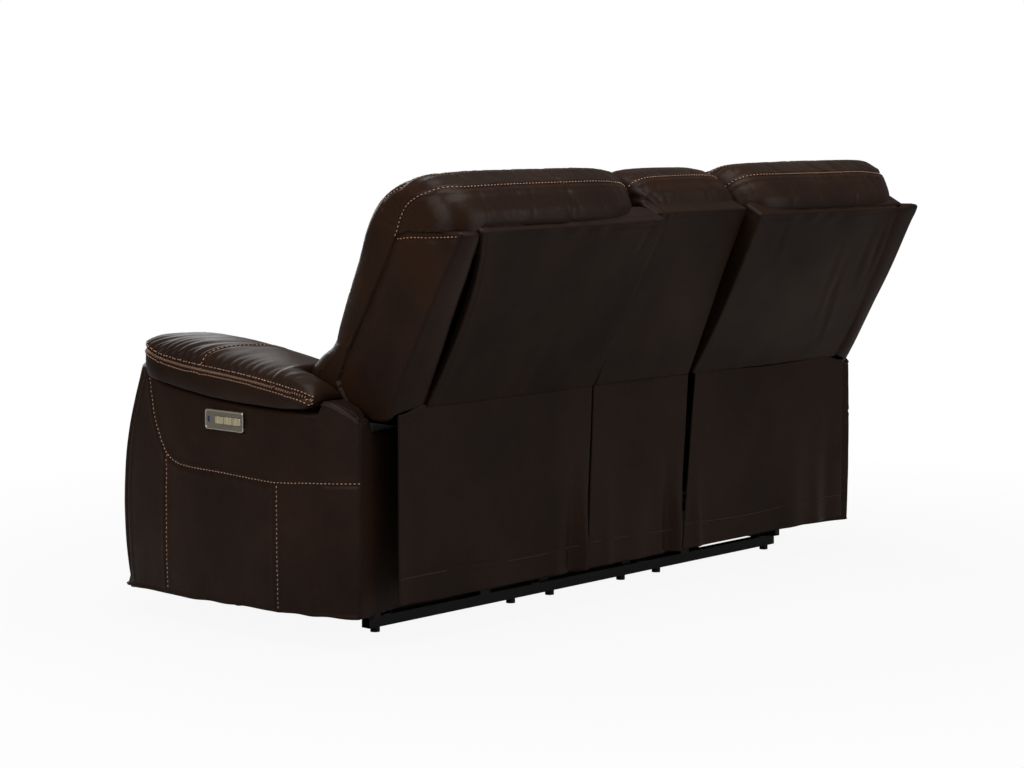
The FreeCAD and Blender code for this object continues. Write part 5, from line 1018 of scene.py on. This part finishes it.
def puffed(piece, voxel, cap, low, high):
    """Blows up a closed form: an even voxel mesh, a pressed cloth for 20 frames without gravity, a cap on how
    far each point moves and on the room it has, and one subdivision. All of it is applied to the mesh."""
    bpy.context.view_layer.objects.active = piece
    even = piece.modifiers.new("even", "REMESH")
    even.mode = "VOXEL"
    even.voxel_size = voxel * mm
    bpy.ops.object.modifier_apply(modifier=even.name)
    start = spots_of(piece.data)
    filling = piece.modifiers.new("filling", "CLOTH")
    filling.settings.use_pressure = True
    filling.settings.uniform_pressure_force = 4.0
    filling.settings.quality = 6
    filling.settings.mass = 0.35
    filling.settings.tension_stiffness = filling.settings.compression_stiffness = 12.0
    filling.settings.bending_stiffness = 1.2
    filling.settings.effector_weights.gravity = 0.0
    filling.point_cache.frame_start, filling.point_cache.frame_end = 1, 20
    for number in range(1, 21):
        bpy.context.scene.frame_set(number)
    blown = piece.evaluated_get(bpy.context.evaluated_depsgraph_get())
    shift = spots_of(blown.data) - start
    piece.modifiers.remove(filling)
    bpy.context.scene.frame_set(1)
    shift *= np.minimum(1, cap * mm / np.maximum(np.linalg.norm(shift, axis=1, keepdims=True), 1e-9))
    move_to(piece.data, np.clip(start + shift, placed(*low), placed(*high)))
    finer = piece.modifiers.new("finer", "SUBSURF")
    finer.levels = finer.render_levels = 1
    bpy.ops.object.modifier_apply(modifier=finer.name)
    piece.data.shade_smooth()
    piece.data.update()


def mirrored(source, name):
    """The same piece on the sitter's right, its faces turned so that they still look outwards."""
    mesh = source.data.copy()
    move_to(mesh, spots_of(mesh) * (-1, 1, 1))
    mesh.flip_normals()
    mesh.update()
    return added(name, mesh)


def sewn(piece, lines, depth, width, puff=0.35):
    """Grooves along lines on a piece, in plan millimetres."""
    points = plan(piece)
    shape = np.zeros(len(points))
    for line in lines:
        gap, along = near_line(points, line)
        shape += groove(gap, depth, width, puff) + 0.3 * np.exp(-(gap / 16) ** 2) * np.sin(along / 6.3)
    relief(piece, shape)


def rounded_box(left, right, near, far, radius, count):
    """A closed outline of even points: a rectangle with quarter-round corners."""
    turn = np.linspace(0, math.pi / 2, 9)
    corners = ((right - radius, far - radius, 0), (left + radius, far - radius, 1),
               (left + radius, near + radius, 2), (right - radius, near + radius, 3))
    line = np.vstack([np.column_stack([x + radius * np.cos(turn + quarter * math.pi / 2),
                                       y + radius * np.sin(turn + quarter * math.pi / 2)])
                      for x, y, quarter in corners])
    return evenly(np.vstack([line, line[:1]]), count, looped=True)


def doubled(half, middle=()):
    """A line across a left seat or footrest from its inner end to its outer end, which mirrors it about the
    seat's middle."""
    return [*half, *middle, *((2 * seat_middle - x, aft, height) for x, aft, height in half[::-1])]


seat_middle = 453
seat_rows = pillow_rows(rounded_box(187, 719, -764, -176, 34, 300), 82, 13, 26)
front_roll = ramp_up(-seat_rows[:, :, 1], 640, 772)
rear_slope = ramp_up(seat_rows[:, :, 1], -300, -172)
seat_rows[:, :, 2] = 403 + seat_rows[:, :, 2] * (1 - 0.2 * front_roll - 0.05 * rear_slope)
seat = skin("left_seat_leather", seat_rows)
puffed(seat, 7.2, 13, (177.5, -783, 400.4), (729, -168, 504))
seat_cross = sewn_path(seat, doubled([(184, -616, 470), (230, -618, 492)], [(453, -622, 505)]))
seat_sides = [sewn_path(seat, [(x, -200, 490), (x + lean, -330, 500), (x + lean, -500, 503), (x, -616, 497)])
              for x, lean in ((268, 5), (638, -5))]
seat_boxing = sewn_path(seat, doubled([(196, -190, 474), (190, -400, 480), (192, -640, 474), (206, -742, 462),
                                       (300, -766, 458)], [(453, -770, 458)]))
sewn(seat, [seat_cross, *seat_sides], 6.0, 6.0, 0.4)
sewn(seat, [seat_boxing], 3.0, 4.5)
seat_points = plan(seat)
relief(seat, 0.9 * ripples(seat_points, 150, 151) + 0.4 * ripples(seat_points, 60, 152))
seat_threads = [seat_cross + (0, 5, 0), seat_cross - (0, 5, 0), seat_boxing + (0, 0, -5),
                *(line + (step, 0, 0) for line in seat_sides for step in (-5, 5))]
seat_pair = {"left": seat, "right": mirrored(seat, "right_seat_leather")}
for word, side in SIDES:
    upholstered(seat_pair[word], word + "_seat", 0.8, word + "_seat_cushion")
    stitches(word + "_seat_stitching", seat_pair[word], word + "_seat", seat_threads, side)


# Footrests: padded boards that close the front below the seats, in the same leather over foam, with one seam
# across. The cover is blown up as the seats' are.
rest_flat = pillow_rows(rounded_box(189, 717, 113, 377, 26, 260), 58, 9, 20)
rest_rows = np.stack([rest_flat[:, :, 0], -720 - rest_flat[:, :, 2], rest_flat[:, :, 1]], axis=-1)
rest = skin("left_footrest_leather", rest_rows)
puffed(rest, 7.4, 11, (179, -796, 101), (727, -718.6, 389))
rest_cross = sewn_path(rest, doubled([(188, -750, 250), (240, -785, 250)], [(453, -790, 248)]))
rest_half = [(453, -772, 371), (300, -772, 371), (210, -768, 366), (196, -766, 340), (194, -768, 248),
             (196, -766, 140), (210, -768, 122), (300, -772, 118)]
rest_boxing = sewn_path(rest, doubled(rest_half, [(453, -772, 117)]))
sewn(rest, [rest_cross], 5.0, 6.0, 0.4)
sewn(rest, [rest_boxing], 2.6, 4.5)
rest_points = plan(rest)
relief(rest, 0.8 * ripples(rest_points, 130, 161) + 0.35 * ripples(rest_points, 50, 162))
rest_threads = [rest_cross + (0, 0, 5), rest_cross - (0, 0, 5), rest_boxing]
rest_pair = {"left": rest, "right": mirrored(rest, "right_footrest_leather")}
for word, side in SIDES:
    upholstered(rest_pair[word], word + "_footrest", 0.8, word + "_footrest_pad")
    stitches(word + "_footrest_stitching", rest_pair[word], word + "_footrest", rest_threads, side)


# Console: a leather-covered box between the seats. Its open well is lined with the same leather, its top
# dips under the cup tray, and a steel hinge at the back carries the padded lid.
def console_box_rows():
    """Rings from the well's floor up its walls, over a rounded lip, across the top, over the outer edge, down
    the sides and under the rounded foot. The top is cut down by 72 mm where the cup tray stands."""
    quarter = np.radians([30, 60, 90])
    outer = rounded_box(-171, 171, -760, -100, 14, 220)
    well = rounded_box(-141, 141, -505, -266, 8, 220)
    well_middle, outer_middle = well.mean(axis=0, keepdims=True), outer.mean(axis=0, keepdims=True)
    rows = [(well_middle + (well - well_middle) * share, 260.0) for share in (0.05, 0.4, 0.8, 0.97)]
    rows += [(well, 260 + share * 272) for share in np.linspace(0.01, 1, 24)]
    rows += [(drawn_in(well, -8 * (1 - math.cos(turn))), 532 + 8 * math.sin(turn)) for turn in quarter]
    inner_edge, outer_edge = drawn_in(well, -8), drawn_in(outer, 10)
    for share in np.linspace(0.06, 1, 24):
        spots = inner_edge + (outer_edge - inner_edge) * share
        under_tray = (np.abs(spots[:, 0]) < 156) & (spots[:, 1] < -524) & (spots[:, 1] > -746)
        rows.append((spots, 540 - 72.0 * under_tray))
    rows += [(drawn_in(outer, 10 * (1 - math.sin(turn))), 540 - 10 * (1 - math.cos(turn))) for turn in quarter]
    rows += [(outer, 530 - share * 452) for share in np.linspace(0.02, 1, 40)]
    rows += [(drawn_in(outer, 8 * (1 - math.cos(turn))), 78 - 8 * math.sin(turn)) for turn in quarter]
    rows += [(outer_middle + (drawn_in(outer, 8) - outer_middle) * share, 70.0) for share in (0.7, 0.3, 0.05)]
    return np.stack([np.column_stack([spots, np.broadcast_to(height, len(spots))]) for spots, height in rows])


box_cover = skin("console_box_leather", console_box_rows())
box_line = sewn_path(box_cover, both_halves([(-171, -740, 505), (-158, -760, 505)], [(0, -761, 505)]))
sewn(box_cover, [box_line], 2.2, 3.4)
upholstered(box_cover, "root", 1.0, "console_box")
stitches("console_box_stitching", box_cover, "root", [box_line + (0, 0, -5)])


def plain(name, colour, roughness, metallic=0.0, grain=0.02, depth=0.0002):
    """An even finish whose roughness wanders a little, with a fine bump of a given grain in metres."""
    material, tree = empty_material(name)
    spot = node(tree, "TexCoord").outputs["Object"]
    speck = node(tree, "TexNoise", {"Vector": spot, "Scale": 1 / grain, "Detail": 3.0})
    tone = node(tree, "MapRange", {"Value": speck.outputs["Fac"], "To Min": roughness - 0.06,
                                   "To Max": roughness + 0.06})
    bump = node(tree, "Bump", {"Height": speck.outputs["Fac"], "Strength": 0.3, "Distance": depth})
    surface = node(tree, "BsdfPrincipled", {"Base Color": linear(colour), "Roughness": tone.outputs[0],
                                            "Metallic": metallic, "Normal": bump.outputs[0]})
    node(tree, "OutputMaterial", {"Surface": surface.outputs[0]})
    return material


def flat_part(name, outlines, back, face, bevel, side, material):
    """A flat part seen along x: a filled curve of outlines and holes in aft and height, given its depth
    between two planes and a bevelled edge, and made a mesh."""
    curve = bpy.data.curves.new(name, "CURVE")
    curve.dimensions = "2D"
    curve.fill_mode = "BOTH"
    curve.extrude = (face - back) / 2 - bevel
    curve.bevel_depth = bevel
    curve.bevel_resolution = 2
    curve.offset = -bevel
    for outline in outlines:
        spline = curve.splines.new("POLY")
        spline.points.add(len(outline) - 1)
        blank = np.zeros(len(outline))
        spline.points.foreach_set("co", np.column_stack([outline, blank, blank + 1]).ravel())
        spline.use_cyclic_u = True
    holder = added(name + "_curve", curve)
    bpy.context.view_layer.update()
    mesh = bpy.data.meshes.new_from_object(holder.evaluated_get(bpy.context.evaluated_depsgraph_get()))
    bpy.data.objects.remove(holder)
    mesh.name = name
    spots = spots_of(mesh)
    x = (spots[:, 2] + (face + back) / 2) * side
    move_to(mesh, placed(x, spots[:, 0], spots[:, 1]))
    flesh = bmesh.new()
    flesh.from_mesh(mesh)
    bmesh.ops.remove_doubles(flesh, verts=flesh.verts, dist=1e-6)
    bmesh.ops.recalc_face_normals(flesh, faces=flesh.faces)
    flesh.to_mesh(mesh)
    flesh.free()
    mesh.materials.clear()
    mesh.materials.append(material)
    return added(name, mesh)


def arc(aft, height, radius, first, last, count):
    """Points on a circle in aft and height, between two angles in degrees."""
    turn = np.radians(np.linspace(first, last, count))
    return np.column_stack([aft + radius * np.cos(turn), height + radius * np.sin(turn)])


hinge_steel = plain("zinc_plated_steel", "8d8f92", 0.38, 1.0, 0.002, 0.00005)
knuckle = np.vstack([arc(-275, 549, 9, 0, 270, 28), [(-257, 540), (-257, 549)]])
for name, outline, low, high, side in (("console_hinge_pin", arc(-275, 549, 5, 0, 350, 36), -60, 60, 1),
                                       ("console_hinge_knuckle_left", knuckle, 30.3, 90.3, 1),
                                       ("console_hinge_knuckle_right", knuckle, 30.3, 90.3, -1)):
    part = flat_part(name, [outline], low, high, 0.7, side, hinge_steel)
    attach(part, "root")

lid_rows = pillow_rows(rounded_box(-161, 161, -511, -288, 22, 260), 38, 11, 15)
lid_rows[:, :, 2] += 555
lid = skin("console_lid_leather", lid_rows)
puffed(lid, 7.0, 5, (-164, -514, 554.8), (164, -285, 606))
lid_half = [(0, -500, 591), (-130, -499, 590), (-150, -484, 589), (-152, -400, 590), (-150, -316, 589),
            (-130, -301, 590)]
lid_boxing = sewn_path(lid, both_halves(lid_half, [(0, -300, 591)]))
sewn(lid, [lid_boxing], 2.6, 4.0)
relief(lid, 0.5 * ripples(plan(lid), 90, 171))
upholstered(lid, "console_lid", 0.9, "console_lid_pad")
stitches("console_lid_stitching", lid, "console_lid", [lid_boxing])


# Control plates: pressed steel with a satin nickel finish, one on each arm, with rounded corners and a raised
# bright rim. A charging socket with a blue tongue stands at the front end, and three rocker keys behind it.
def rounded_slot(front, low, length, height, radius):
    """A rectangle in aft and height with quarter-round corners."""
    return rounded_box(front, front + length, low, low + height, radius, 64)


def key_rows(front):
    """Rings square to the key's length: a rectangle with round corners, whose face falls at both ends and
    dips in the middle, where the key's two halves meet."""
    stations = front + np.r_[0.0, 0.4, 1.2, np.linspace(2.4, 24.6, 30), 25.8, 26.6, 27.0]
    along = (stations - front) / 27
    face = 975.9 - 2.4 * np.exp(-((along - 0.5) / 0.06) ** 2) - 1.5 * np.abs(2 * along - 1) ** 14
    outline = rounded_box(-0.5, 0.5, -0.5, 0.5, 0.14, 48)
    inset = 1 - 0.09 * np.abs(2 * along - 1) ** 10
    return np.stack([np.column_stack([972.6 + (reach - 972.6) * (outline[:, 0] + 0.5), np.full(48, aft),
                                      485 + 16 * narrow * outline[:, 1]])
                     for aft, reach, narrow in zip(stations, face, inset)])


satin_nickel = plain("satin_nickel_plate", "a09686", 0.42, 1.0, 0.0015, 0.00008)
bright_rim = plain("bright_nickel_rim", "d8d2c4", 0.24, 1.0, 0.002, 0.00003)
key_champagne = plain("champagne_key_lacquer", "d2c6a6", 0.3, 0.6, 0.002, 0.00004)
bay_plastic = plain("black_bay_abs", "0e0e10", 0.5)
key_fronts = [-347.8 - 29 * number for number in range(3)]
bays = [rounded_slot(front - 0.8, 476.2, 28.6, 17.6, 2) for front in key_fronts]
plate_outline, rim_mouth = rounded_slot(-439, 462, 128, 46, 5), rounded_slot(-434.8, 466.2, 119.6, 37.6, 2.6)
socket_mouth = rounded_slot(-431, 478, 6, 14, 1.2)
layers = (("plate", [plate_outline, *bays, socket_mouth], 966, 974.2, 0.4, satin_nickel),
          ("plate_rim", [plate_outline, rim_mouth], 969, 975.8, 1.1, bright_rim),
          ("plate_backing", [rounded_slot(-437, 464, 124, 42, 4)], 966.2, 969.4, 0.4, bay_plastic))
for word, side in SIDES:
    for layer, outlines, root, face, bevel, finish in layers:
        part = flat_part(f"{word}_control_{layer}", outlines, root, face, bevel, side, finish)
        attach(part, "root")
        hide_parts("control_plates")
    for role, front in zip(("back", "footrest", "headrest"), key_fronts):
        key = skin(f"{word}_{role}_key_cap", key_rows(front), side, key_champagne)
        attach(key, f"{word}_{role}_key")
        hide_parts(f"{word}_{role}_key")


# Bare parts: the model's own base, mechanism, motors, boards, springs, tray and cups keep their shapes and
# get finishes. The timber frames of the backs are wrapped in black lining cloth, so no bare wood shows at the
# gaps. A thin black plate behind the rear cross rail is painted shade: it stands for the shadow under the
# seats and hides the floor there.
finishes = {
    "black_steel": plain("black_powder_coat", "0c0c0d", 0.5, 0.0, 0.002),
    "glide_plastic": plain("black_nylon", "101011", 0.55),
    "plywood": plain("black_lining_cloth", "0f0e0e", 0.85, 0.0, 0.0015, 0.0004),
    "nickel": satin_nickel,
    "steel": plain("brushed_cup_steel", "b4b4b6", 0.28, 1.0, 0.001, 0.00005),
    "black_plastic": plain("black_abs", "131315", 0.45),
    "spring_steel": plain("oiled_spring_wire", "4c4c4e", 0.4, 1.0),
    "blue_plastic": plain("blue_socket_plastic", "1c3f86", 0.4),
    "leather": brown_hide,
}
# Painted shade: a thin black plate in the base's powder coat that stands for the shadow under the seats.
shade_plate_ring = rounded_box(-167, -163, 16, 61.5, 1.2, 24)
shade_plate_rows = [np.column_stack([np.full(24, x), shade_plate_ring]) for x in (-480.0, -479.0, 120.0, 699.0, 700.0)]
shade_plate = skin("rear_rail_painted_shade_plate", shade_plate_rows, 1, finishes["black_steel"])
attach(shade_plate, "root")
slots = {entry["node"]: entry["material_slot"] for entry in frame["record"]["subparts"]}
for name, part in frame["nodes"].items():
    for holder in part.material_slots:
        holder.material = finishes[slots[name]]
